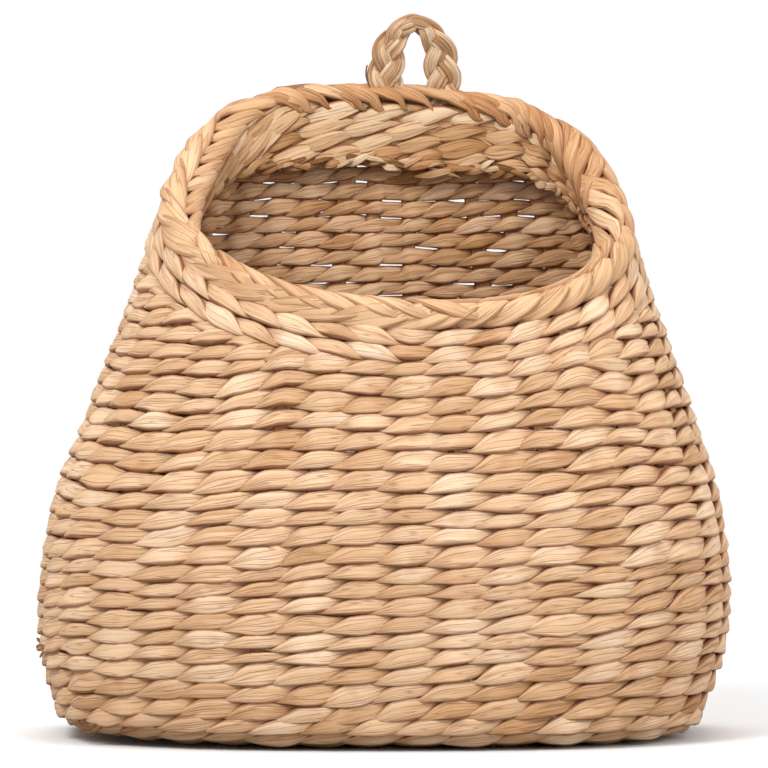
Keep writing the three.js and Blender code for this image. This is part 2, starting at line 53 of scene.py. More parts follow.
# The wall's stations, in millimetres from the floor up: height, half width, depth, how far in front of the
# back the widest line lies, and how far to the right the middle lies.
TURN_UP_HEIGHT = 12.6
BULGE_HEIGHT = 60.0
LIP_HEIGHT, LIP_DEPTH = 188.0, 129.0
RIM_HEIGHT, RIM_HALF_WIDTH = 264.0, 78.0
CROWN_HEIGHT = 285.0
BULGE_WIDEST = 64.0
STATIONS = np.array(
    [
        [TURN_UP_HEIGHT, 137.8, 149.5, 64.0, -2.4],
        [34.0, 144.3, 152.1, 64.0, -0.8],
        [BULGE_HEIGHT, 146.3, 152.9, BULGE_WIDEST, 0.2],
        [100.0, 141.2, 150.0, 63.0, 1.2],
        [140.0, 127.4, 142.0, 60.0, 2.6],
        [LIP_HEIGHT, 110.1, LIP_DEPTH, 56.0, 3.4],
        [228.0, 96.9, 98.0, 48.0, 3.6],
        [RIM_HEIGHT, RIM_HALF_WIDTH, 62.0, 38.0, 4.0],
        [CROWN_HEIGHT, 60.0, 48.0, 32.0, 4.2],
    ]
)
HEIGHT, HALF_WIDTH, DEPTH, WIDEST, LEAN = range(5)
FRONT_SQUARENESS = 2.5
BACK_SQUARENESS = 4.5
BACK_FULLNESS = 1.05
BACK_MIDDLE = 76.5
COLUMNS = 36
FRONT_COLUMN = COLUMNS // 2
RIM_ARCH = 8.0
MOUTH_TILT = 0.045


def unit(vectors):
    """The same directions, each one long."""
    return vectors / np.linalg.norm(vectors, axis=-1, keepdims=True)


def way_along(points):
    """How far along a path each of its points lies."""
    steps = np.linalg.norm(np.diff(points, axis=0), axis=1)
    return np.concatenate([[0], np.cumsum(steps)])


def station_value(z, which):
    """One value of the stations at height z, on a cubic that passes through every station."""
    z = np.asarray(z, float)
    heights, values = STATIONS[:, HEIGHT], STATIONS[:, which]
    last = len(heights) - 1
    low = np.clip(np.searchsorted(heights[1:], z), 0, last - 1)
    before, after = np.maximum(np.arange(last + 1) - 1, 0), np.minimum(np.arange(last + 1) + 1, last)
    slopes = (values[after] - values[before]) / (heights[after] - heights[before])
    span = heights[low + 1] - heights[low]
    t = (z - heights[low]) / span
    return (
        (2 * t**3 - 3 * t**2 + 1) * values[low]
        + (t**3 - 2 * t**2 + t) * span * slopes[low]
        + (3 * t**2 - 2 * t**3) * values[low + 1]
        + (t**3 - t**2) * span * slopes[low + 1]
    )


def wall_point(turn, z):
    """The middle of the wall. The turn is 0 at the middle of the back and runs by +X round the front."""
    turn, z = np.broadcast_arrays(np.asarray(turn, float), np.asarray(z, float))
    across, along = np.sin(turn), np.cos(turn)
    half_width, depth, widest, lean = (station_value(z, k) for k in (HALF_WIDTH, DEPTH, WIDEST, LEAN))
    power = 2 / np.where(along > 0, BACK_SQUARENESS, FRONT_SQUARENESS)
    x = lean + np.sign(across) * half_width * np.abs(across) ** power
    reach = np.abs(along) ** power
    behind = np.minimum(BACK_MIDDLE, BACK_MIDDLE - widest + BACK_FULLNESS * widest * reach)
    before = BACK_MIDDLE - widest - (depth - widest) * reach
    return np.stack([x, np.where(along > 0, behind, before), z], axis=-1)


def wall_outward(turn, z):
    """The wall's outward direction there."""
    rise = wall_point(turn, z + 1) - wall_point(turn, z - 1)
    way = wall_point(turn + 0.05, z) - wall_point(turn - 0.05, z)
    return unit(np.cross(rise, way))


# A place round the basket is counted in columns. They are an equal way apart round the bulge, from 0 at the
# middle of the back by 9 at the right, 18 in front and 27 at the left, and u may lie between two of them.
FINE_TURNS = np.linspace(0, 2 * math.pi, 2401)
FINE_WAY = way_along(wall_point(FINE_TURNS, BULGE_HEIGHT))


def turn_at(u):
    """The turn at column u."""
    u = np.asarray(u, float)
    rounds = np.floor(u / COLUMNS)
    way = (u - rounds * COLUMNS) / COLUMNS * FINE_WAY[-1]
    return np.interp(way, FINE_WAY, FINE_TURNS) + 2 * math.pi * rounds


RIM_SEARCH_DEPTH = 7.0
RIM_SEARCH_STEPS = 40


def rim_middle(turn):
    """Height of the rim's middle: the mouth slants from the lip up to the back, where it is arched."""
    low = np.full(np.shape(turn), LIP_HEIGHT - RIM_SEARCH_DEPTH)
    high = np.full(np.shape(turn), CROWN_HEIGHT)
    for _ in range(RIM_SEARCH_STEPS):
        z = (low + high) / 2
        x, y = wall_point(turn, z)[..., 0], wall_point(turn, z)[..., 1]
        aside = x - station_value(z, LEAN)
        forward = (BACK_MIDDLE - y) / LIP_DEPTH
        arch = RIM_ARCH * (1 - (aside / RIM_HALF_WIDTH) ** 2) * (1 - forward)
        mouth = RIM_HEIGHT - (RIM_HEIGHT - LIP_HEIGHT) * forward + arch - MOUTH_TILT * aside
        low, high = np.where(z < mouth, z, low), np.where(z < mouth, high, z)
    return (low + high) / 2


FINE_U = np.linspace(0, COLUMNS, 20 * COLUMNS + 1)
FINE_RIM = rim_middle(turn_at(FINE_U))
FINE_RIM_POINTS = wall_point(turn_at(FINE_U), FINE_RIM)
RIM_STEPS = np.gradient(FINE_RIM_POINTS, axis=0)
FINE_STRETCH = np.hypot(1, RIM_STEPS[:, 2] / np.hypot(RIM_STEPS[:, 0], RIM_STEPS[:, 1]))


def below_rim(u, distance):
    """Height at u, a distance below the rim's middle, measured square to the rim."""
    place = np.mod(u, COLUMNS)
    return np.interp(place, FINE_U, FINE_RIM) - distance * np.interp(place, FINE_U, FINE_STRETCH)


CORNER_LIFT = 3.6


def settled(points):
    """The basket as it stands: its left corner has dried a little off the floor."""
    off = np.clip((-40 - points[..., 0]) / 100, 0, 1) ** 1.5 * np.clip(1 - points[..., 2] / 75, 0, 1) ** 2
    return points + CORNER_LIFT * off[..., None] * [0, 0, 1]


def wall_place(u, z, out=0.0):
    """Points at columns u and heights z, a distance outwards from the wall's middle, and the outward way."""
    turn = turn_at(u)
    outward = wall_outward(turn, z)
    out = np.broadcast_to(np.asarray(out, float), np.shape(turn))
    return settled(wall_point(turn, z) + outward * out[..., None]), outward


def ways_along(points, closed=False):
    """The direction of a path at each of its points."""
    if closed:
        return unit(np.roll(points, -1, axis=0) - np.roll(points, 1, axis=0))
    return unit(np.gradient(points, axis=0))


def node(tree, kind, *inputs, named=None, **settings):
    """Adds a node with its settings, links or sets its inputs in order or by name, and gives its outputs.
    None leaves an input as it is."""
    made = tree.nodes.new(kind)
    for name, value in settings.items():
        setattr(made, name, value)
    by_name = [(made.inputs[name], value) for name, value in (named or {}).items()]
    for socket, value in [*zip(made.inputs, inputs), *by_name]:
        if isinstance(value, bpy.types.NodeSocket):
            tree.links.new(value, socket)
        elif value is not None:
            socket.default_value = value
    return made.outputs


# The pattern on a leaf is drawn as if each leaf were this wide from its middle to its edge, in metres.
PATTERN_HALF = 0.004
# Under 1 the section of a leaf is squarer than an ellipse.
SECTION_ROUNDNESS = 0.66


def strand_tree():
    """Sweeps a flattened, creased section along every path of a mesh of edges, which carries how each point
    of a path faces, its half width and half thickness, its tone and where it lies along its own fibres."""
    tree = bpy.data.node_groups.new("leaf strand", "GeometryNodeTree")
    for name, side, kind in (
        ("Paths", "INPUT", "NodeSocketGeometry"),
        ("Section points", "INPUT", "NodeSocketInt"),
        ("Crease depth", "INPUT", "NodeSocketFloat"),
        ("Creases across", "INPUT", "NodeSocketFloat"),
        ("Crease length", "INPUT", "NodeSocketFloat"),
        ("Finish", "INPUT", "NodeSocketMaterial"),
        ("Strands", "OUTPUT", "NodeSocketGeometry"),
    ):
        tree.interface.new_socket(name, in_out=side, socket_type=kind)
    given = node(tree, "NodeGroupInput")
    path = node(tree, "GeometryNodeMeshToCurve", given["Paths"])[0]
    circle = node(tree, "GeometryNodeCurvePrimitiveCircle", given["Section points"])[0]
    position = node(tree, "GeometryNodeInputPosition")[0]
    round_share = node(tree, "GeometryNodeSplineParameter")["Factor"]
    turn = node(tree, "ShaderNodeMath", round_share, 2 * math.pi, operation="MULTIPLY")[0]
    captured = []
    for curve, name, kind, value in ((path, "Middle", "VECTOR", position), (circle, "Angle", "FLOAT", turn)):
        capture = tree.nodes.new("GeometryNodeCaptureAttribute")
        capture.capture_items.new(kind, name)
        tree.links.new(curve, capture.inputs["Geometry"])
        tree.links.new(value, capture.inputs[name])
        captured += [capture.outputs["Geometry"], capture.outputs[name]]
    path, middle, section, angle = captured
    swept = node(tree, "GeometryNodeCurveToMesh", path, section, named={"Fill Caps": True})[0]

    carried = {}
    for name in ("grain", "halves", "across", "flat"):
        read = node(tree, "GeometryNodeInputNamedAttribute", name, data_type="FLOAT_VECTOR")
        carried[name] = read["Attribute"]
    along, _, label = node(tree, "ShaderNodeSeparateXYZ", carried["grain"])
    wide, thick, _ = node(tree, "ShaderNodeSeparateXYZ", carried["halves"])

    # Edge and face are how far a point lies towards the leaf's edge and its face. Run, beside and leaf are
    # its place in a noise drawn out along the leaf, another for each leaf and each of its faces. Where that
    # noise crosses its middle runs a sharp crease, and between the creases stand broad ribs, on both faces.
    # They fade towards the edges.
    values = dict(given.items(), angle=angle, along=along, label=label, width=wide, thickness=thick)
    for name, kind, *terms in (
        ("cosine", "COSINE", "angle"),
        ("wide", "ABSOLUTE", "cosine"),
        ("wide", "POWER", "wide", SECTION_ROUNDNESS),
        ("edge side", "SIGN", "cosine"),
        ("edge", "MULTIPLY", "wide", "edge side"),
        ("sine", "SINE", "angle"),
        ("high", "ABSOLUTE", "sine"),
        ("high", "POWER", "high", SECTION_ROUNDNESS),
        ("face side", "SIGN", "sine"),
        ("face", "MULTIPLY", "high", "face side"),
        ("run", "DIVIDE", "along", "Crease length"),
        ("beside", "MULTIPLY", "edge", "Creases across"),
        ("leaf", "MULTIPLY", "label", 9.1),
        ("leaf", "MULTIPLY_ADD", "face side", 7.3, "leaf"),
        ("place", "ShaderNodeCombineXYZ", "run", "beside", "leaf"),
        ("noise", "ShaderNodeTexNoise", "place", None, 1.0, 2.0, 0.6),
        ("rib", "SUBTRACT", "noise", 0.5),
        ("rib", "ABSOLUTE", "rib"),
        ("rib", "POWER", "rib", 0.6),
        ("rib", "MULTIPLY_ADD", "rib", 3.2, -1.0),
        ("rib", "MULTIPLY", "rib", "Crease depth"),
        ("inside", "ABSOLUTE", "edge"),
        ("inside", "POWER", "inside", 4.0),
        ("inside", "SUBTRACT", 1.0, "inside"),
        ("rib", "MULTIPLY", "rib", "inside"),
        ("rib", "MULTIPLY", "rib", "face side"),
        ("lift", "MULTIPLY", "face", "thickness"),
        ("lift", "ADD", "lift", "rib"),
        ("reach", "MULTIPLY", "edge", "width"),
        ("aside", "MULTIPLY", "edge", PATTERN_HALF),
    ):
        terms = [values.get(term, term) for term in terms]
        kind, settings = ("ShaderNodeMath", {"operation": kind}) if kind.isupper() else (kind, {})
        values[name] = node(tree, kind, *terms, **settings)[0]
    where = middle
    for way, length in (("across", "reach"), ("flat", "lift")):
        scaled = carried[way], None, None, values[length]
        step = node(tree, "ShaderNodeVectorMath", *scaled, operation="SCALE")[0]
        where = node(tree, "ShaderNodeVectorMath", where, step, operation="ADD")[0]
    shaped = node(tree, "GeometryNodeSetPosition", swept, None, where)[0]

    fibres = node(tree, "ShaderNodeCombineXYZ", along, values["aside"], label)[0]
    kept = shaped, None, "fibres", fibres
    stored = node(tree, "GeometryNodeStoreNamedAttribute", *kept, data_type="FLOAT_VECTOR")[0]
    smooth = node(tree, "GeometryNodeSetShadeSmooth", stored)[0]
    whole = node(tree, "GeometryNodeRealizeInstances", smooth)[0]
    finished = node(tree, "GeometryNodeSetMaterial", whole, None, given["Finish"])[0]
    for name in ("across", "flat", "halves", "grain"):
        finished = node(tree, "GeometryNodeRemoveAttribute", finished, None, name)[0]
    node(tree, "NodeGroupOutput", finished)
    return tree


STRAND_TREE = strand_tree()
STRAND_PORTS = {item.name: item.identifier for item in STRAND_TREE.interface.items_tree}


def lay(bundle, points, flat, half_width, half_thickness, tone, closed=False):
    """Adds one strand to a bundle, in millimetres: where it runs, which way its flat side faces, and its
    sizes."""
    ways = ways_along(points, closed)
    flat = unit(flat - (flat * ways).sum(axis=1, keepdims=True) * ways)
    count = len(points)
    zero = np.zeros(count)
    start = sum(len(strand["points"]) for strand in bundle)
    pairs = start + np.stack([np.arange(count), np.arange(1, count + 1) % count], axis=1)
    # A leaf's label sets its pattern apart from those of its neighbours.
    label = np.full(count, 0.37 * len(bundle) % 29)
    strand = {
        "points": points * MILLIMETRE,
        "flat": flat,
        "across": np.cross(ways, flat),
        "halves": np.stack(np.broadcast_arrays(half_width, half_thickness, zero), axis=1) * MILLIMETRE,
        "grain": np.stack([way_along(points) * MILLIMETRE, zero, label], axis=1),
        "tone": tone + zero,
        "edges": pairs if closed else pairs[:-1],
    }
    bundle.append(strand)


def make_strands(name, bundle, finish, points=16, depth=0.36, across=1.7, length=30.0):
    """Turns a bundle into one plain mesh, through the strand tree. The creases are so deep, so many to half
    a leaf's width and so long. Depth and length are in millimetres."""
    paths = bpy.data.meshes.new(name)
    whole = {key: np.concatenate([strand[key] for strand in bundle]) for key in bundle[0]}
    paths.from_pydata(whole["points"].tolist(), whole["edges"].tolist(), [])
    for key, kind, field in (
        ("flat", "FLOAT_VECTOR", "vector"),
        ("across", "FLOAT_VECTOR", "vector"),
        ("halves", "FLOAT_VECTOR", "vector"),
        ("grain", "FLOAT_VECTOR", "vector"),
        ("tone", "FLOAT", "value"),
    ):
        values = whole[key].astype(np.float32).ravel()
        paths.attributes.new(key, kind, "POINT").data.foreach_set(field, values)
    piece = bpy.data.objects.new(name, paths)
    bpy.context.scene.collection.objects.link(piece)
    sweep = piece.modifiers.new("sweep", "NODES")
    sweep.node_group = STRAND_TREE
    for port, value in (
        ("Section points", points),
        ("Crease depth", depth * MILLIMETRE),
        ("Creases across", across),
        ("Crease length", length * MILLIMETRE),
        ("Finish", finish),
    ):
        sweep[STRAND_PORTS[port]] = value
    shaped = piece.evaluated_get(bpy.context.evaluated_depsgraph_get())
    solid = bpy.data.meshes.new_from_object(shaped)
    piece.modifiers.remove(sweep)
    piece.data = solid
    bpy.data.meshes.remove(paths)
    solid.name = name
    return piece


def linear(code):
    """An sRGB hex colour as the linear numbers that a shader takes."""
    parts = [int(code[k : k + 2], 16) / 255 for k in (1, 3, 5)]
    return [v / 12.92 if v <= 0.04045 else ((v + 0.055) / 1.055) ** 2.4 for v in parts] + [1]


# The marks on a dried leaf, in millimetres along it and across it: fibres that show as fine hairs, broader
# streaks, folds from drying, and how large a bruise is. Each leaf has its own, and folds run askew.
HAIR = 16.67, 0.4167
STREAK = 35.71, 1.613
FOLD = 41.67, 1.786
BRUISE = 18.18
LEAVES_APART = 40.0
FOLD_SLANT = (0.31, 0.17, 0.0)
# The band towards a leaf's edges that painted shade darkens, from where it starts to where it is full.
EDGE_SHADE_BAND = 0.725 * PATTERN_HALF, 0.925 * PATTERN_HALF
BRUISE_COLOUR = "#b97f50"
# Painted shade in the folds and along the edges is drawn in these two colours.
FOLD_SHADE_COLOUR = "#a8703f"
EDGE_SHADE_COLOUR = "#96592a"


# Edges is how strongly painted shade darkens a leaf's edges.
def dried_leaf(name, colours, streaks=0.34, edges=0.85):
    """Dried leaf, flattened by hand. Fibres run its whole length, 0.4 mm apart, and catch the light as fine
    silky lines. Broader streaks of 1.6 mm are paler or browner, with a warmer bruise here and there."""
    finish = bpy.data.materials.new(name)
    finish.use_nodes = True
    tree = finish.node_tree
    tree.nodes.clear()
    fibres = node(tree, "ShaderNodeAttribute", attribute_name="fibres")["Vector"]
    tone = node(tree, "ShaderNodeAttribute", attribute_name="tone")["Fac"]
    marks = []
    for (length, width), slant, detail, roughness in (
        (HAIR, None, 3.0, 0.65),
        (STREAK, None, 2.0, 0.5),
        (FOLD, FOLD_SLANT, 1.0, 0.5),
    ):
        scale = (1 / (length * MILLIMETRE), 1 / (width * MILLIMETRE), LEAVES_APART)
        drawn_out = node(tree, "ShaderNodeMapping", fibres, None, slant, scale)[0]
        noise = node(tree, "ShaderNodeTexNoise", drawn_out, None, 1.0, detail, roughness)["Fac"]
        marks += [noise, node(tree, "ShaderNodeMath", noise, 0.5, operation="SUBTRACT")[0]]
    hairs, hairy, bands, streaky, _, fold = marks

    # Each leaf's tone, made lighter or darker by its streaks and hairs, runs through its colours.
    shade = node(tree, "ShaderNodeMath", streaky, streaks * 2, tone, operation="MULTIPLY_ADD")[0]
    shade = node(tree, "ShaderNodeMath", hairy, 0.5, shade, operation="MULTIPLY_ADD")[0]
    colour = node(tree, "ShaderNodeValToRGB", shade)[0]
    stops = colour.node.color_ramp.elements
    while len(stops) < len(colours):
        stops.new(0.5)
    for stop, (position, code) in zip(stops, colours):
        stop.position = position
        stop.color = linear(code)

    # Over it come bruises, where the leaf was bent while it was green, which are warmer and browner; folds
    # from drying, where painted shade draws thin brown lines where their noise crosses its middle; and
    # painted shade along the leaf's edges, where it curves away and tucks under the leaves beside it.
    place = node(tree, "ShaderNodeTexCoord")["Object"]
    patches = node(tree, "ShaderNodeTexNoise", place, None, 1 / (BRUISE * MILLIMETRE), 2.0, 0.5)["Fac"]
    bruise = node(tree, "ShaderNodeMapRange", patches, 0.58, 0.76, 0.0, 0.5)[0]
    fold = node(tree, "ShaderNodeMath", fold, operation="ABSOLUTE")[0]
    crease = node(tree, "ShaderNodeMapRange", fold, 0.0, 0.03, 1.0, 0.0)[0]
    # Painted shade: the folds are darkened where they sink in.
    fold_shade = node(tree, "ShaderNodeMath", crease, 0.42, operation="MULTIPLY")[0]
    # Painted shade: the leaf darkens towards its edges, where it curves away and tucks under its neighbours.
    sides = node(tree, "ShaderNodeSeparateXYZ", fibres)[1]
    sides = node(tree, "ShaderNodeMath", sides, operation="ABSOLUTE")[0]
    edge = node(tree, "ShaderNodeMapRange", sides, *EDGE_SHADE_BAND, 0.0, edges)[0]
    for share, code, blend in (
        (bruise, BRUISE_COLOUR, "MIX"),
        (fold_shade, FOLD_SHADE_COLOUR, "MULTIPLY"),
        (edge, EDGE_SHADE_COLOUR, "MULTIPLY"),
    ):
        parts = {"Factor": share, "A": colour, "B": linear(code)}
        colour = node(tree, "ShaderNodeMix", named=parts, data_type="RGBA", blend_type=blend)["Result"]

    # Streaks and hairs stand up a little and folds sink in. The hairs are the duller the higher they are.
    relief = node(tree, "ShaderNodeMath", bands, 0.8, hairs, operation="MULTIPLY_ADD")[0]
    relief = node(tree, "ShaderNodeMath", crease, -0.9, relief, operation="MULTIPLY_ADD")[0]
    parts = {"Strength": 0.75, "Distance": 0.5 * MILLIMETRE, "Height": relief}
    bump = node(tree, "ShaderNodeBump", named=parts)[0]
    gloss = node(tree, "ShaderNodeMapRange", hairs, 0.3, 0.7, 0.52, 0.74)[0]
    parts = {"Base Color": colour, "Roughness": gloss, "Normal": bump, "Specular IOR Level": 0.35}
    surface = node(tree, "ShaderNodeBsdfPrincipled", named=parts)[0]
    node(tree, "ShaderNodeOutputMaterial", surface)
    return finish


STAKE_LEAF = dried_leaf(
    "dried water hyacinth, split stakes",
    [(0.0, "#7d5433"), (0.4, "#c0905f"), (0.75, "#dfb485"), (1.0, "#efcfa4")],
)
STAKES = 18
STAKE_FOOT = 14.6
STAKE_HEAD_DEPTH = 9.0
STAKE_OUT = -0.6
STAKE_BASE_LEVEL = 4.2
STAKE_BASE_SPACING = 13.6
STAKE_WALL_POINTS = 34
STAKE_BASE_POINTS = 31
STAKE_CORNER_BENDS = np.radians([75, 50, 25])
STAKE_CORNER_INSET = 4.0
BASE_CORNER = 16.0
DOWN = np.array([0.0, 0.0, -1.0])


def base_ring_point(u, inset, z):
    """A point of the wall's foot, drawn in towards the middle of the base and set at height z."""
    points, outward = wall_place(u, TURN_UP_HEIGHT)
    points = points - unit(outward * [1, 1, 0]) * np.asarray(inset, float)[..., None]
    points[..., 2] = z
    return settled(points)


stakes = []
chance = np.random.default_rng(11)
for k in range(STAKES):
    back = k - (STAKES - 1) / 2
    front = FRONT_COLUMN - back
    runs, faces = [], []
    for u, downwards in ((back, True), (front, False)):
        heights = np.linspace(STAKE_FOOT, below_rim(u, STAKE_HEAD_DEPTH), STAKE_WALL_POINTS)
        wander = 0.05 * np.sin(heights / 31 + chance.uniform(0, 6))
        points, outward = wall_place(u + wander, heights, STAKE_OUT)
        bend = STAKE_CORNER_BENDS
        inset = BASE_CORNER - (BASE_CORNER - STAKE_CORNER_INSET) * np.sin(bend)
        low = TURN_UP_HEIGHT - (TURN_UP_HEIGHT - STAKE_BASE_LEVEL) * np.sin(bend)
        corner = base_ring_point(np.full(len(bend), u), inset, low)
        corner_face = unit(outward[0] * np.cos(bend)[:, None] + DOWN * np.sin(bend)[:, None])
        points, outward = np.concatenate([corner, points]), np.concatenate([corner_face, outward])
        runs.append(points[::-1] if downwards else points)
        faces.append(outward[::-1] if downwards else outward)
    start, end = base_ring_point(np.array([back, front]), BASE_CORNER, STAKE_BASE_LEVEL)
    middle = settled(np.array([back * STAKE_BASE_SPACING, (start[1] + end[1]) / 2, STAKE_BASE_LEVEL]))
    t = np.linspace(-0.96, 0.96, STAKE_BASE_POINTS)[:, None]
    side = np.where(t < 0, start, end)
    across = middle + (side - middle) * np.concatenate([t**2, np.abs(t), t * 0], axis=1)
    points = np.concatenate([runs[0], across, runs[1]])
    faces = np.concatenate([faces[0], np.tile(DOWN, (STAKE_BASE_POINTS, 1)), faces[1]])
    half_width = 3.4 + 0.5 * np.sin(np.arange(len(points)) / 3.7 + k)
    lay(stakes, points, faces, half_width, 0.9, 0.55 + 0.1 * math.sin(5 * k))

stake_piece = make_strands("stakes", stakes, STAKE_LEAF, points=12, depth=0.25, across=3.0)
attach(stake_piece, "basket")
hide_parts(*[f"stake_{k + 1:02d}" for k in range(18)])

# Base mat: rounds of paired twining, one inside another, on the stakes where they cross the base. It is the
# same dried leaf as the wall. The outer three rounds climb the turned-up corner and carry the first course.

WEFT_LEAF = dried_leaf(
    "dried water hyacinth, twined weft",
    [(0.0, "#78491f"), (0.28, "#bb8752"), (0.55, "#dcaf84"), (0.78, "#eec9a3"), (1.0, "#f7dcbe")],
    edges=0.7,
)
TWIST_DEPTH = 2.1
STRAND_THICKNESS = 4.1
STITCH = 20.4
# The parts of a stitch go from 0, where the leaf lies across the outside of a stake, to 1 and -1, where it
# lies across the inside of the next. It comes out at its left as a long low point, in front of its
# neighbour, and goes in high at its right. Widths and heights are shares of the row, reaches of the twist.
STITCH_PARTS = [-1.0, -0.86, -0.75, -0.6, -0.4, -0.1, 0.15, 0.35, 0.52, 0.66, 0.78, 0.88, 1.0]
STITCH_WIDTHS = [1.14, 0.85, 0.36, 0.6, 0.85, 1.0, 0.96, 0.74, 0.46, 0.22, 0.07, 0.7, 1.14]
STITCH_HEIGHTS = [0.0, 0.14, 0.26, 0.19, 0.09, 0.01, -0.05, -0.17, -0.3, -0.4, -0.42, -0.2, 0.0]
STITCH_REACHES = [-1.0, -0.9, -0.6, -0.05, 0.5, 0.95, 1.05, 1.02, 0.92, 0.74, 0.3, -0.6, -1.0]


def twine(
    bundle, points, outward, stitch, width, chance, shade=0.0, closed=True, taper=0.0, shown=1.0, lean=1
):
    """Lays two strands twisted round each other along a row. Every whole number of stitch, one of them is
    outside. The first strand is fatter and paler than the second, as two leaves never match. The long points
    lie outside where shown is 1 and inside where it is 0."""
    ways = ways_along(points, closed)
    upward = unit(np.cross(ways, outward))
    first = math.floor(stitch.min()) - 2
    knots = np.arange(first, math.ceil(stitch.max()) + 4)
    period = int(round(stitch[-1] - stitch[0] + stitch[1] - stitch[0])) if closed else len(knots)

    def varied(low, high):
        """A value that changes from one stitch to the next."""
        values = chance.uniform(low, high, len(knots))[(knots - first) % period]
        return np.interp(stitch, knots, values)

    ends = 1.0
    if taper:
        way = way_along(points)
        ends = np.clip(np.minimum(way, way[-1] - way) / taper, 0.3, 1) ** 0.6
    mismatch, first_leaf = chance.uniform(0.2, 1.0), chance.integers(2)
    for k, fatter, paler in ((0, 0.11, 0.075), (1, -0.09, -0.06)):
        part = (np.mod(stitch + k + first_leaf + 1 + varied(-0.1, 0.1), 2) - 1) * lean
        turned = np.mod(2 - part, 2) - 1
        share, height, reach = (
            np.interp(part, STITCH_PARTS, form) * shown
            + np.interp(turned, STITCH_PARTS, form) * side * (1 - shown)
            for form, side in ((STITCH_WIDTHS, 1), (STITCH_HEIGHTS, 1), (STITCH_REACHES, -1))
        )
        size = width * (1 + fatter * mismatch) * varied(0.83, 1.14) * share
        thickness = STRAND_THICKNESS * varied(0.88, 1.14) * (0.62 + 0.38 * share)
        reach = TWIST_DEPTH * reach * varied(0.9, 1.1)
        rise = varied(-0.5, 0.5) * share + width * height * varied(0.9, 1.1)
        centre = points + outward * reach[:, None] + upward * rise[:, None]
        flat = outward + upward * (varied(-0.05, 0.4) * reach / TWIST_DEPTH)[:, None]
        # Painted shade: the narrow parts of each stitch, where it tucks behind its neighbour and the stake,
        # are made darker.
        tone = 0.67 + paler * mismatch + varied(-0.15, 0.15) - 0.15 * (1 - share) + shade
        lay(bundle, centre, flat, size / 2 * ends, thickness / 2 * ends, tone, closed)


def stitch_count(way):
    """A whole, even number of stitches for a closed round of this length."""
    return 2 * max(2, round(way / STITCH / 2))


def part_way(path, way, wanted):
    """The points of a path, or its directions, at the wanted ways along it."""
    return np.stack([np.interp(wanted, way, path[:, k]) for k in range(3)], axis=1)


CORNER_ROUNDS = 3
FLAT_ROUNDS = 8
BASE_LEVEL = 4.0
BASE_ROW_WIDTH = 8.3
STEPS_A_BASE_STITCH = 10
# The innermost round closes on a seam this long to each side, a little behind the middle.
SEAM_HALF, SEAM_BEHIND = 66.0, 3.5
base = []
chance = np.random.default_rng(23)
around = FINE_U[:-1]
foot = base_ring_point(around, BASE_CORNER, BASE_LEVEL)
foot_outward = unit(wall_place(around, TURN_UP_HEIGHT)[1] * [1, 1, 0])
seam = foot * [1, 0, 0] + [0, SEAM_BEHIND, BASE_LEVEL]
seam[:, 0] = np.clip(seam[:, 0], -SEAM_HALF, SEAM_HALF)
seam = settled(seam)
for k in range(CORNER_ROUNDS + FLAT_ROUNDS):
    if k < CORNER_ROUNDS:
        bend = math.radians(90 * (k + 0.5) / CORNER_ROUNDS)
        inset = BASE_CORNER * (1 - math.cos(bend))
        level = TURN_UP_HEIGHT - (TURN_UP_HEIGHT - BASE_LEVEL) * math.sin(bend)
        ring = base_ring_point(around, inset, level)
        ring_outward = foot_outward * math.cos(bend) + DOWN * math.sin(bend)
    else:
        ring = foot + (seam - foot) * (k - CORNER_ROUNDS + 0.35) / FLAT_ROUNDS
        ring_outward = np.tile(DOWN, (len(around), 1))
    ring, ring_outward = (np.concatenate([values, values[:1]]) for values in (ring, ring_outward))
    way = way_along(ring)
    stitches = stitch_count(way[-1])
    wanted = np.linspace(0, way[-1], stitches * STEPS_A_BASE_STITCH + 1)[:-1]
    points, outward = part_way(ring, way, wanted), unit(part_way(ring_outward, way, wanted))
    # Painted shade: the base mat, under the basket, is made a little darker.
    twine(base, points, outward, wanted / way[-1] * stitches, BASE_ROW_WIDTH, chance, -0.06)

base_piece = make_strands("base_twining", base, WEFT_LEAF, points=12)
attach(base_piece, "basket")
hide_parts("base_mat")

# Courses: twenty closed rows of paired twining, packed by hand, so no two are quite the same height and
# each wanders a little on its way round. They are slacker at the back, where light comes through.

FULL_COURSES = 20
STEPS_A_STITCH = 12
RIM_COURSE_HEIGHT = 7.2
ROLL_FOOT = 7.0
BAND_FOOT = ROLL_FOOT + 2 * RIM_COURSE_HEIGHT
FULL_COURSES_TOP = float(min(below_rim(np.arange(COLUMNS), BAND_FOOT + 0.9)))
# Neighbouring rows are pressed into each other this far.
ROW_OVERLAP = 0.7
# Where the rim is a little higher than they are, the courses from this one on rise with it, at most so far.
RISING_COURSE, RISE = 12, 6.5
chance = np.random.default_rng(5)
course_share = np.cumsum(np.concatenate([[0], chance.uniform(0.87, 1.13, FULL_COURSES)]))
course_edges = TURN_UP_HEIGHT + (FULL_COURSES_TOP - TURN_UP_HEIGHT) * course_share / course_share[-1]


def sway(u, z):
    """How far a row has wandered from its level: slow waves that go round a whole number of times."""
    round_turn = 2 * math.pi * u / COLUMNS
    return (
        0.55 * np.sin(3 * round_turn + z / 23)
        + 0.45 * np.sin(5 * round_turn - z / 31 + 1)
        + 0.35 * np.sin(8 * round_turn + z / 17 + 2)
    )


def straying(k, u):
    """How far the joint under row k strays up or down as the rows on each side of it swell and thin."""
    phases = np.random.default_rng(300 + k).uniform(0, 2 * math.pi, 5)
    waves = zip((2, 5, 8, 11, 15), (0.3, 0.4, 0.4, 0.35, 0.3), phases)
    return sum(size * np.sin(count * 2 * math.pi * u / COLUMNS + phase) for count, size, phase in waves)


def from_back(u):
    """How many columns u lies from the middle of the back, whichever way round is shorter."""
    return np.abs(np.mod(u + FRONT_COLUMN, COLUMNS) - FRONT_COLUMN)


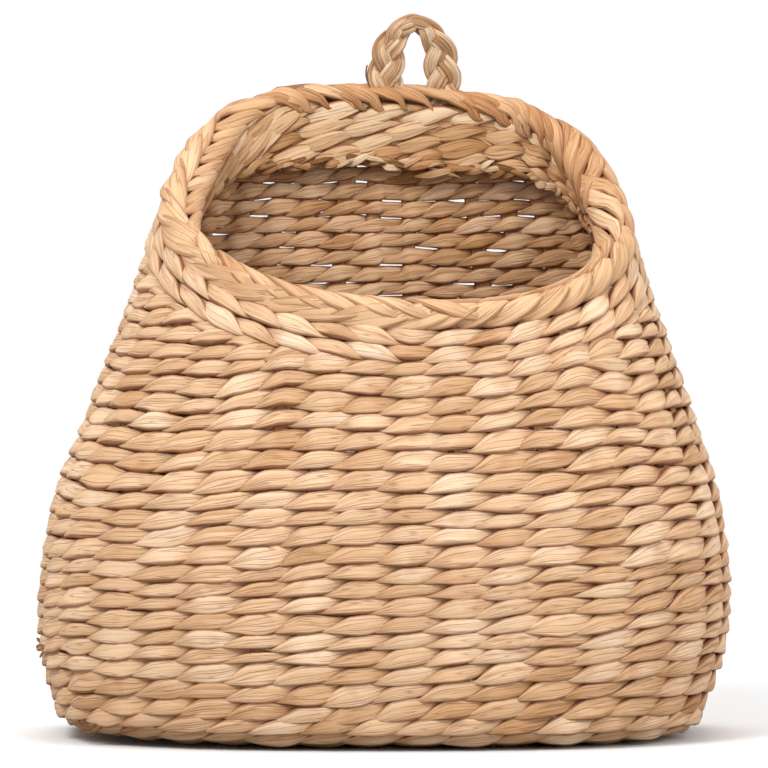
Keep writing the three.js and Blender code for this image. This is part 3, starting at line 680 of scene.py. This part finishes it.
def outside_shown(u):
    """1 where a row is seen from outside, and little across the back, which is seen through the mouth."""
    return 0.12 + 0.88 * np.clip((from_back(u) - 4.5) / 2.0, 0, 1)


def back_shade(u):
    """Painted shade: the leaves across the back are made darker, for the shade inside the basket where the
    back is seen through the mouth.
    """
    return -0.14 * np.clip((9.5 - from_back(u)) / 3.5, 0, 1)


def frontness(u):
    """0 at the middle of the back and 1 at the middle of the front."""
    return (1 - np.cos(2 * math.pi * u / COLUMNS)) / 2


def fullness(u):
    """How thick the rows are packed: full in front, slacker behind."""
    return 1.06 - 0.13 * (1 - frontness(u)) ** 2


# Where two rows stand apart: the joint, its column and how far, in millimetres. At the back daylight shows
# through, high up, and at the sides and in front there are small dark gaps.
BACK_SLITS = np.random.default_rng(77).uniform([15, -5.2, 0.45], [33, 5.2, 0.95], (64, 3))
SIDE_SLITS = np.random.default_rng(78).uniform([2, 7.5, 0.5], [31, 13.5, 1.3], (170, 3))
SIDE_SLITS[::2, 1] = COLUMNS - SIDE_SLITS[::2, 1]
FRONT_SLITS = np.random.default_rng(79).uniform([1, 12.5, 0.3], [17, 23.5, 0.9], (44, 3))
CORNER_SLITS = np.array([[3, 25, 3.0], [2, 25, 1.6], [4, 26, 1.4]])
SLITS = np.concatenate([BACK_SLITS, SIDE_SLITS, FRONT_SLITS, CORNER_SLITS])
SLIT_HALF = 0.26


def slit(k, u):
    """How far the rows stand apart at the joint under row k."""
    width = np.zeros(np.shape(u))
    for joint, place, size in SLITS:
        if int(joint) == k:
            away = from_back(u - round(place + 0.12))
            width = np.maximum(width, size * np.exp(-((away / SLIT_HALF) ** 4)))
    return width


closed_u = np.arange(COLUMNS * STEPS_A_STITCH) / STEPS_A_STITCH
for k in range(FULL_COURSES):
    low, high = course_edges[k], course_edges[k + 1]
    level = (low + high) / 2
    gap = below_rim(closed_u, BAND_FOOT) - FULL_COURSES_TOP
    rising = np.where(gap < RISE, gap, np.clip(2 * RISE - gap, 0, RISE))
    rising = rising * np.clip((k - RISING_COURSE) / (FULL_COURSES - 1 - RISING_COURSE), 0, 1) * 0.75
    under = straying(k, closed_u) * min(1, k / 2)
    over = straying(k + 1, closed_u) * min(1, (FULL_COURSES - k - 1) / 2)
    below, above = slit(k, closed_u), slit(k + 1, closed_u)
    z = level + (under + over) / 2 + sway(closed_u, level) * min(1, (FULL_COURSES - k) / 4) + rising
    z = z + (below - above) / 4
    points, outward = wall_place(closed_u, z)
    width = (high - low + over - under + ROW_OVERLAP) * fullness(closed_u) - (below + above) / 2
    # Painted shade: the lowest courses, where the wall turns under towards the floor, are made darker; the
    # back gets its painted shade too.
    shade = chance.uniform(-0.04, 0.04) - 0.12 * max(0, 1 - k / 2.5) + back_shade(closed_u)
    course = []
    twine(course, points, outward, closed_u + 0.5, width, chance, shade, shown=outside_shown(closed_u))
    name = f"course_{k + 1:02d}"
    piece = make_strands(name + "_twining", course, WEFT_LEAF)
    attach(piece, "basket")
    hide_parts(name)

# Packing rows: short rows that fill the back and the sides above the front lip. Each is turned back where
# the slant of the mouth cuts across it, so its ends run out under the rim courses.

PACKING_ROWS = 12
ROW_END_TUCK = 4.5
ROW_FURTHEST = 17.5
ROW_TAPER = 14.0
packing_top = float(below_rim(0, BAND_FOOT))
packing_share = np.cumsum(np.concatenate([[0], chance.uniform(0.9, 1.1, PACKING_ROWS)]))
packing_edges = FULL_COURSES_TOP + (packing_top - FULL_COURSES_TOP) * packing_share / packing_share[-1]
behind = np.linspace(-FRONT_COLUMN, FRONT_COLUMN, 80 * FRONT_COLUMN + 1)
for k in range(PACKING_ROWS):
    low, high = packing_edges[k], packing_edges[k + 1]
    level = (low + high) / 2
    free = below_rim(behind, BAND_FOOT) > level - ROW_END_TUCK
    reach = behind[free & (np.abs(behind) < ROW_FURTHEST)]
    left, right = reach.min(), reach.max()
    u = np.linspace(left, right, int((right - left) * STEPS_A_STITCH) + 1)
    under = straying(40 + k, u) * 0.8 * (k > 0)
    over = straying(41 + k, u) * 0.8 * (k < PACKING_ROWS - 1)
    top = below_rim(u, BAND_FOOT) - 2.0
    below, above = slit(FULL_COURSES + k, u), slit(FULL_COURSES + k + 1, u)
    z = np.minimum(level + (under + over) / 2 + sway(u, level) * 0.6 + (below - above) / 4, top)
    points, outward = wall_place(u, z, -0.12 * np.clip(level - top + 4, 0, 8))
    width = (high - low + over - under + ROW_OVERLAP) * fullness(u) - (below + above) / 2
    # The back carries its painted shade.
    shade = chance.uniform(-0.04, 0.04) + back_shade(u)
    row = []
    twine(row, points, outward, u + 0.5, width, chance, shade, False, ROW_TAPER, outside_shown(u))
    name = f"packing_row_{k + 1:02d}"
    piece = make_strands(name + "_twining", row, WEFT_LEAF)
    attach(piece, "basket")
    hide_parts(name)

# Rim courses: two closed rows of the same twining that follow the slant of the mouth. They tie down the
# ends of the packing rows. From the middle of the front round to the left their stitches lean the other way.

RIM_COURSES = 2
OTHER_WAY = 18, 30
for k in range(RIM_COURSES):
    below = BAND_FOOT - (k + 0.5) * RIM_COURSE_HEIGHT + 1.2 * frontness(closed_u)
    points, outward = wall_place(closed_u, below_rim(closed_u, below))
    stitch = closed_u + 0.5
    lean = np.where((stitch > OTHER_WAY[0]) & (stitch < OTHER_WAY[1]), -1, 1)
    row = []
    twine(row, points, outward, stitch, RIM_COURSE_HEIGHT + 0.9, chance, 0.03, lean=lean)
    name = f"rim_course_{k + 1:02d}"
    piece = make_strands(name + "_twining", row, WEFT_LEAF)
    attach(piece, "basket")
    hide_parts(name)

# Rolled rim: the stakes and fresh leaves are folded over and rolled into a thick cord that lies along the
# mouth. Its leaves are the widest and palest of the basket, and run almost along it.

ROLL_LEAF = dried_leaf(
    "dried water hyacinth, rolled border",
    [(0.0, "#774720"), (0.25, "#b67e4d"), (0.5, "#d3a375"), (0.75, "#e5bb90"), (1.0, "#f2d2ac")],
    streaks=0.26,
    edges=0.42,
)
ROLL_MIDDLE = -1.2
ROLL_CORE_STRANDS = 4
ROLL_CORE_TURNS = 9
ROLL_REACH, ROLL_RISE = 4.1, 4.5
FOLD_REACH = 2.75
FINE_RIM_WAY = way_along(FINE_RIM_POINTS)
RIM_WAY = FINE_RIM_WAY[-1]


def column_at(way):
    """The column at a way along the mouth, in millimetres from the middle of the back."""
    return np.interp(np.mod(way, RIM_WAY), FINE_RIM_WAY, FINE_U)


def roll_place(way):
    """The middle of the roll at a way along the mouth, its outward way, and how stout it is there."""
    u = column_at(way)
    core, outward = wall_place(u, below_rim(u, 1.3 + 1.9 * frontness(u)), ROLL_MIDDLE)
    return core, outward, 1 + 0.2 * frontness(u)


roll = []


def rim_leaf(
    middle, length, start, stop, half, tone, lift=0.0, sharpness=0.6, thick=1.5, tucked=(2.4, 2.4), slope=0.0
):
    """One leaf folded over the roll: along the mouth for its length, while it turns round the roll from the
    start angle to the stop angle. 0 degrees is outwards, 90 up and 180 inwards, where the fold is deepest, as
    it goes on over the cuff. Its ends are tucked under by their own depths, and it rises or sinks along its
    length by the slope, so that it lies over one neighbour and under the other."""
    q = np.linspace(0, 1, 21)
    core, outward, stout = roll_place(middle + length * (q - 0.5))
    upward = unit(np.cross(ways_along(core), outward))
    angle = np.radians(start + (stop - start) * q)
    c, s = np.cos(angle), np.sin(angle)
    first, last = (np.clip(1 - way / 0.16, 0, 1) ** 2 for way in (q, 1 - q))
    out = lift + slope * (q - 0.5) - tucked[0] * first - tucked[1] * last
    wide = np.where(c < 0, -FOLD_REACH * ROLL_REACH * np.abs(c) ** 0.8, (ROLL_REACH * stout + out) * c)
    high = (ROLL_RISE * stout + out) * np.where(c < 0, np.sign(s) * np.abs(s) ** 0.55, s)
    centre = core + outward * wide[:, None] + upward * high[:, None]
    face = outward * c[:, None] + upward * s[:, None]
    swell = np.clip(np.sin(math.pi * q), 0.06, 1) ** sharpness
    # Painted shade: the leaf is made darker towards its narrow ends, where they are tucked under.
    lay(roll, centre, face, half * swell, thick * (0.4 + 0.6 * swell), tone - 0.1 * (1 - swell))


chance = np.random.default_rng(31)
way = np.linspace(0, RIM_WAY, 641)[:-1]
core, outward, stout = roll_place(way)
upward = unit(np.cross(ways_along(core, True), outward))
for k in range(ROLL_CORE_STRANDS):
    angle = 2 * math.pi * (way / RIM_WAY * ROLL_CORE_TURNS + k / ROLL_CORE_STRANDS)
    wide, high = 2.3 * stout * np.cos(angle), 2.5 * stout * np.sin(angle)
    centre = core + outward * wide[:, None] + upward * high[:, None]
    face = outward * np.cos(angle)[:, None] + upward * np.sin(angle)[:, None]
    lay(roll, centre, face, 3.4 * stout, 1.7, 0.5 + 0.05 * np.sin(way / 31 + k), True)

# The outer leaves are wide and long, and at the left they lie nearly along the mouth. From the middle of
# the front round to the right they are shorter and steeper, as in a rope.
middle = 0.0
while middle < RIM_WAY - 8:
    u = column_at(middle)
    right = np.interp(u, [0, 5, 8, 16, 19, 36], [0, 0, 1, 1, 0, 0])
    left = np.interp(u, [23.5, 26, 29, 31], [0, 1, 1, 0])
    length = chance.uniform(50, 60) - 26 * right
    start, stop = 26 + 34 * right + 66 * left, -74 + 16 * right + 44 * left
    half = chance.uniform(5.9, 6.9) - 1.5 * right
    turn = chance.uniform(-9, 9) * (1 - 0.4 * right)
    tone = chance.uniform(0.66, 0.8) - 0.08 * right
    sharpness, slope = 0.75 - 0.25 * right, 1.2 - 3.4 * right
    rim_leaf(middle, length, start + turn, stop + turn, half, tone, 0.0, sharpness, 1.8, (2.0, 1.6), slope)
    middle += (21 - 6 * right) * chance.uniform(0.82, 1.14)

# The stakes' own ends are folded over these, from the inside of the mouth down to the outside. Behind they
# are browner and pass right over the top, so small holes are left beside them.
middle = 0.0
while middle < RIM_WAY - 5:
    u = column_at(middle)
    right = np.interp(u, [0, 7, 9.5, 16, 17.5, 36], [0, 0, 1, 1, 0, 0])
    behind = np.interp(u, [0, 7.5, 9, 29, 31, 36], [1, 1, 0, 0, 1, 1])
    left = np.interp(u, [23.5, 25.5, 29, 31], [0, 1, 1, 0])
    side = np.interp(u, [7, 8, 11, 13], [1, 1, 1, 0])
    length = chance.uniform(35, 41) + 2 * right - 12 * left - 4 * behind
    length = length * (1 + chance.uniform(-0.2, 0.3) * behind)
    start, stop = -24 + 82 * behind + 110 * left, 96 + 92 * behind + 76 * left
    if right > 0.5:
        start, stop = 124 + 34 * side, 54 - 4 * side
    turn = chance.uniform(-16, 16) * behind
    half = chance.uniform(3.6, 4.6) * (0.85 + chance.uniform(-0.2, 0.2) * behind) - 0.5 * left + 0.4 * right
    tone = chance.uniform(0.52, 0.8) - (0.08 + chance.uniform(0, 0.22)) * behind
    lift = 1.5 + chance.uniform(0.0, 1.4) * behind - 0.5 * left
    tucked = (0.9 + 1.5 * behind, 2.4)
    rim_leaf(middle, length, start + turn, stop + turn, half, tone, lift, 0.7, 1.7, tucked, 1.4)
    middle += (17 - 1.5 * right - 8.7 * behind - 7.5 * left) * chance.uniform(0.78, 1.22)

# Right of the front one long pale leaf lies along the inner lip.
rim_leaf(np.interp(14.6, FINE_U, FINE_RIM_WAY), 54, 126, 82, 3.3, 0.8, 1.9, 0.7, 1.3)

# At the back's left one brown leaf stands up in an arch, with a hollow under it.
for u, length, lift, tone in ((32.2, 26, 3.4, 0.1), (31.6, 22, 1.8, 0.3), (32.9, 20, 1.6, 0.3)):
    rim_leaf(np.interp(u, FINE_U, FINE_RIM_WAY), length, 84, 128, 3.4, tone, lift, 0.5, 1.0, (6.0, 6.0))

roll_piece = make_strands("rim_roll_leaves", roll, ROLL_LEAF, points=14, depth=0.28, across=2.0, length=35)
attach(roll_piece, "basket")
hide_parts("rim_roll")

# Inner cuff: the top of the wall, folded in through the mouth. Four rows of the same twining show on it,
# and its lower edge is where the leaves were cut off.

CUFF_LEAF = dried_leaf(
    "dried water hyacinth, folded cuff",
    [(0.0, "#784a22"), (0.28, "#bb8752"), (0.52, "#dbae80"), (0.75, "#efcca2"), (1.0, "#fae2c2")],
)
CUFF_FACE = -9.8
CUFF_ROWS = 4
CUFF_ROW_HEIGHT = 6.5
CUFF_TOP = 1.6
CUFF_STITCH = 19.5
CUFF_ROW_SHIFT = 8.0
cuff = []
chance = np.random.default_rng(43)


def cuff_row(u):
    """How high one row of the cuff is: less at the front of the mouth than behind."""
    return CUFF_ROW_HEIGHT * (0.66 + 0.34 * (1 + np.cos(turn_at(u))) / 2)


def cuff_leaf(way, depth, length, steepness, half, tone, lift, bend=0.7):
    """One stitch on the cuff: a leaf pointed at both ends that lies over the stitch beside it. Way is where
    its middle lies along the mouth and depth how far below the rim, and it rises by its steepness."""
    q = np.linspace(0, 1, 15)
    u = column_at(way + length * (q - 0.5))
    down = depth - steepness * (q - 0.5) + bend * np.sin(2 * math.pi * q)
    bow = lift + 1.9 * np.sin(math.pi * q) + 1.3 * (q - 0.5)
    points, outward = wall_place(u, below_rim(u, down), CUFF_FACE - bow)
    swell = np.clip(np.sin(math.pi * q**0.9), 0.08, 1) ** 0.75
    # Painted shade: the leaf is made darker towards its narrow ends, where they lie under the stitches beside
    # it.
    lay(cuff, points, -outward, half * swell, 1.5 * swell**0.4, tone - 0.1 * (1 - swell))


# Under the stitches lies the wall's own top, folded over.
for k in range(CUFF_ROWS):
    depth = CUFF_TOP + (k + 0.4) * cuff_row(closed_u)
    points, outward = wall_place(closed_u, below_rim(closed_u, depth), CUFF_FACE)
    lay(cuff, points, outward, 4.0, 0.9, 0.4, True)
for k in range(CUFF_ROWS):
    shift, low = CUFF_ROW_SHIFT * k, k / (CUFF_ROWS - 1)
    way = shift - RIM_WAY / 2
    while way < RIM_WAY / 2 + shift - 8:
        u = column_at(way)
        height = cuff_row(u)
        left = np.interp(u, [25, 28, 29.5, 31.5], [0, 1, 1, 0])
        right = np.interp(u, [3.0, 4.5, 9, 11], [0, 1, 1, 0])
        depth = CUFF_TOP + (k + 0.5) * height + chance.uniform(-0.8, 0.8)
        length = (26 - 7 * low) * chance.uniform(0.88, 1.15) * (1 - 0.25 * right - 0.22 * left)
        half = (height / 2 + 0.7) * chance.uniform(0.85, 1.2) * (1 - 0.08 * left)
        steepness = height * (0.75 + 1.7 * left - 0.55 * right) * chance.uniform(0.7, 1.3)
        tone = 0.63 + chance.uniform(-0.18, 0.18) - 0.14 * low
        cuff_leaf(way, depth, length, steepness, half, tone, chance.uniform(-0.3, 0.3))
        way += CUFF_STITCH * (1 - 0.22 * low) * (1 - 0.45 * left - 0.2 * right) * chance.uniform(0.88, 1.12)

# At the left end of the mouth the cuff turns sharply, and its leaves stand steeply across the rows.
first, last = np.interp([27.4, 31.8], FINE_U, FINE_RIM_WAY)
for tier, start in ((8.0, first), (16.5, first + 4)):
    for way in np.arange(start, last, 7.2):
        depth, length = tier + chance.uniform(-1.5, 1.5), 15 * chance.uniform(0.9, 1.2)
        half, tone = 3.7 * chance.uniform(0.85, 1.15), 0.6 + chance.uniform(-0.16, 0.16)
        steepness, lift = 13 * chance.uniform(0.9, 1.25), 1.3 + chance.uniform(-0.3, 0.5)
        cuff_leaf(way, depth, length, steepness, half, tone, lift)

# The cut ends of the stakes and of the last strands lie along the lowest row, bent this way and that, and
# stick out a little under it.
for way in np.arange(-150, 150, 2.3):
    foot = CUFF_TOP + CUFF_ROWS * cuff_row(column_at(way)) + 1.4 * math.sin(way / 9)
    length = chance.uniform(6, 16)
    steepness = chance.choice([-1, 1, 1]) * chance.uniform(0.5, 6.0)
    half, tone = chance.uniform(1.0, 2.1), chance.choice([0.1, 0.3, 0.55, 0.75]) + chance.uniform(-0.08, 0.08)
    depth, lift = foot - chance.uniform(-1.2, 2.6), chance.uniform(0.2, 1.8)
    cuff_leaf(way, depth, length, steepness, half, tone, lift, 0.3)

cuff_piece = make_strands("inner_cuff_twining", cuff, CUFF_LEAF)
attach(cuff_piece, "basket")
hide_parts("inner_cuff")

# Loose ends: where a leaf runs out, its end is pushed between two rows. Two of them have come out again at
# the left: a tuft low on the side, and a thin strand that hangs in a bow under the corner.

TUFT_COLUMN, TUFT_HEIGHT, TUFT_HAIRS = 26.2, 38, 7
BOW_COLUMN, BOW_HEIGHT = 25.1, 13.0
loose = []
chance = np.random.default_rng(71)
q = np.linspace(0, 1, 15)
for _ in range(TUFT_HAIRS):
    u = TUFT_COLUMN + chance.uniform(-0.3, 0.3)
    z = TUFT_HEIGHT + chance.uniform(-2.5, 2.5) + chance.uniform(-5, 3) * q
    u = u + chance.uniform(-0.25, 0.25) * q
    points, outward = wall_place(u, z, 2.0 + chance.uniform(2.5, 4.6) * q**0.8)
    lay(loose, points, outward, chance.uniform(0.8, 1.7) * (1 - 0.5 * q), 0.4, chance.uniform(0.1, 0.5))
for reach, fall in ((1.0, 1.0), (0.86, 0.8)):
    points, outward = wall_place(BOW_COLUMN - 1.1 * q * reach, BOW_HEIGHT, 1.6 + np.sin(math.pi * q))
    points[:, 2] = BOW_HEIGHT - (2.0 * q + 8.0 * np.sin(math.pi * q) ** 0.7) * fall
    lay(loose, points, outward, 0.7, 0.45, 0.12)

loose_piece = make_strands("loose_ends", loose, WEFT_LEAF, points=8, depth=0.05)
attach(loose_piece, "basket")

# Hanging loop: a flat plait of three strands, each of four narrow leaves. Its ends go down behind the cuff,
# where they are worked in, and above the rim it stands up.

LOOP_LEAF = dried_leaf(
    "dried water hyacinth, plaited loop",
    [(0.0, "#5f3b1f"), (0.3, "#a97b50"), (0.55, "#d2a579"), (0.78, "#ecc9a2"), (1.0, "#fbe6cc")],
    streaks=0.5,
    edges=0.7,
)
LOOP_X, LOOP_Y = 13.2, 68.8
LOOP_HALF = 12.6
PIVOT_Z = 283.3
LOOP_TOP = 311.0
LOOP_THICK = 8.5
LOOP_STRAIGHT = 0.35
ANCHOR_FOOT = 246.0
LOOP_STEPS = 260
PLAIT_STRANDS = 3
PLAIT_PERIOD = 35.0
PLAIT_FOLD = 0.8
FORWARDS = np.array([0.0, -1.0, 0.0])
leg_top = PIVOT_Z + (LOOP_TOP - PIVOT_Z) * LOOP_STRAIGHT
leg_z = np.linspace(ANCHOR_FOOT, leg_top, 50)[:-1]
half_turn = math.pi * np.linspace(0, 1, 121)
arch_x = -LOOP_HALF * np.sign(np.cos(half_turn)) * np.abs(np.cos(half_turn)) ** 1.45
arch_z = leg_top + (LOOP_TOP - LOOP_THICK / 2 - leg_top) * np.sin(half_turn)
x = np.concatenate([np.full(len(leg_z), -LOOP_HALF), arch_x, np.full(len(leg_z), LOOP_HALF)])
z = np.concatenate([leg_z, arch_z, leg_z[::-1]])
# The legs lean together a little, and below the rim the ends lie back against the wall.
x = LOOP_X + x * (1 - 0.16 * np.clip((z - PIVOT_Z) / 16, 0, 1))
y = LOOP_Y + 1.9 * np.clip((280 - z) / 8, 0, 1)
loop_path = np.stack([x, y, z], axis=1)
loop_way = way_along(loop_path)
even = np.linspace(0, loop_way[-1], LOOP_STEPS + 1)
loop_path = part_way(loop_path, loop_way, even)
loop_face = np.tile(FORWARDS, (len(even), 1))
loop_across = np.cross(ways_along(loop_path), loop_face)
# At the top the plait is pulled narrow and thick.
top = np.clip((loop_path[:, 2] - PIVOT_Z - 5) / (LOOP_TOP - 9.2 - PIVOT_Z), 0, 1) ** 1.4
loop = []
chance = np.random.default_rng(59)
for k in range(PLAIT_STRANDS):
    angle = 2 * math.pi * (even / PLAIT_PERIOD + k / PLAIT_STRANDS)
    # Each strand runs straight from edge to edge and is folded over there.
    swing = np.arcsin(PLAIT_FOLD * np.sin(angle)) / math.asin(PLAIT_FOLD)
    spread = (4.2 * (1 - top) + 1.2 * top) * swing
    depth = (1.35 * (1 - top) + 2.0 * top) * np.sin(2 * angle)
    centre = loop_path + loop_across * spread[:, None] + loop_face * depth[:, None]
    strand_across = np.cross(ways_along(centre), loop_face)
    # Its four leaves lie side by side, each a little apart from the next in height.
    for side in (-1.5, -0.5, 0.5, 1.5):
        beside = side * (1.95 - 0.75 * top)
        lift = 0.35 * (abs(side) < 1) + 0.35 * np.sin(even / 7 + 3 * side + k)
        points = centre + strand_across * beside[:, None] + loop_face * lift[:, None]
        tone = 0.66 + chance.uniform(-0.13, 0.13) + 0.12 * np.sin(even / 9 + 2 * k + 1.7 * side)
        lay(loop, points, loop_face, 1.25 - 0.1 * top, 1.1 + 0.3 * top, tone)
# One loose hair stands out at the left foot.
q = np.linspace(0, 1, 14)[:, None]
hair = np.array([LOOP_X - 17.5, LOOP_Y - 2, 276.0]) + np.array([-3.0, 0, 12.0]) * q
hair = hair + np.array([-7.0, 0, 0]) * q * (1 - q)
lay(loop, hair, np.tile(FORWARDS, (len(q), 1)), 0.35, 0.25, 0.15)

loop_piece = make_strands("hanging_loop_plait", loop, LOOP_LEAF, points=12, depth=0.2, across=2.4, length=12)
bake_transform(loop_piece)
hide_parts("hanging_loop", "loop_anchor")

# Studio: a sheet of matt white paper under the basket that fades into a white backdrop, three soft lamps,
# and a camera a little above the middle of the basket.

PAPER_CLEAR_FROM, PAPER_CLEAR_TO = 0.28, 0.8
paper = bpy.data.materials.new("matt white paper, studio floor")
paper.use_nodes = True
tree = paper.node_tree
tree.nodes.clear()
place = node(tree, "ShaderNodeTexCoord")["Object"]
away = node(tree, "ShaderNodeVectorMath", place, operation="LENGTH")["Value"]
fading = away, PAPER_CLEAR_FROM, PAPER_CLEAR_TO, 1.0, 0.0
fade = node(tree, "ShaderNodeMapRange", *fading, interpolation_type="SMOOTHSTEP")[0]
seen = node(tree, "ShaderNodeLightPath")["Is Camera Ray"]
pale = node(tree, "ShaderNodeBsdfDiffuse", linear("#fbfbfb"))[0]
dull = node(tree, "ShaderNodeBsdfDiffuse", linear("#b4b2b0"))[0]
matt = node(tree, "ShaderNodeMixShader", seen, dull, pale)[0]
clear = node(tree, "ShaderNodeBsdfTransparent")[0]
surface = node(tree, "ShaderNodeMixShader", fade, clear, matt)[0]
node(tree, "ShaderNodeOutputMaterial", surface)

FLOOR_HALF = 0.8
FLOOR_LEVEL = -0.0014
floor_mesh = bpy.data.meshes.new("floor")
corners = [(x * FLOOR_HALF, y * FLOOR_HALF, FLOOR_LEVEL) for x, y in ((-1, -1), (1, -1), (1, 1), (-1, 1))]
floor_mesh.from_pydata(corners, [], [(0, 1, 2, 3)])
floor_mesh.materials.append(paper)
floor = bpy.data.objects.new("floor", floor_mesh)
bpy.context.scene.collection.objects.link(floor)

world = bpy.data.worlds.new("studio")
bpy.context.scene.world = world
world.use_nodes = True
sky = world.node_tree
sky.nodes.clear()
path = node(sky, "ShaderNodeLightPath")
rays = path["Is Camera Ray"], path["Is Glossy Ray"]
seen = node(sky, "ShaderNodeMath", *rays, operation="MAXIMUM")[0]
strength = node(sky, "ShaderNodeMapRange", seen, 0.0, 1.0, 0.55, 1.0)[0]
backdrop = node(sky, "ShaderNodeBackground", (1, 1, 1, 1), strength)[0]
node(sky, "ShaderNodeOutputWorld", backdrop)

LAMP_AIM = np.array([0, 0, 0.14])
for name, place, size, power in (
    ("key", (-1.1, -1.5, 1.9), 1.1, 42),
    ("fill", (1.6, -1.2, 0.9), 1.4, 19),
    ("top", (0.1, 0.3, 2.2), 1.2, 16),
):
    lamp = bpy.data.lights.new(name, "AREA")
    lamp.size = size
    lamp.energy = power
    holder = bpy.data.objects.new(name, lamp)
    holder.location = place
    x, y, z = LAMP_AIM - np.array(place)
    holder.rotation_euler = (math.atan2(math.hypot(x, y), -z), 0, math.atan2(x, -y) + math.pi)
    bpy.context.scene.collection.objects.link(holder)

# The picture shows the widest line of the basket at this many pixels a metre.
PIXELS_A_METRE = 2303
PICTURE_WIDTH = 768
SENSOR = 36
CAMERA_RISE = math.radians(3.5)
CAMERA_WAY = 6.0
TARGET = np.array([0.0, 0.0, 0.1523])
widest_line = (BACK_MIDDLE - BULGE_WIDEST) * MILLIMETRE
camera_data = bpy.data.cameras.new("camera")
camera_data.sensor_width = SENSOR
camera_data.lens = SENSOR * PIXELS_A_METRE * (CAMERA_WAY + widest_line) / PICTURE_WIDTH
camera = bpy.data.objects.new("camera", camera_data)
camera.location = TARGET + CAMERA_WAY * np.array([0, -math.cos(CAMERA_RISE), math.sin(CAMERA_RISE)])
camera.rotation_euler = (math.pi / 2 - CAMERA_RISE, 0, 0)
bpy.context.scene.collection.objects.link(camera)
bpy.context.scene.camera = camera
bpy.context.scene.view_settings.view_transform = "Standard"
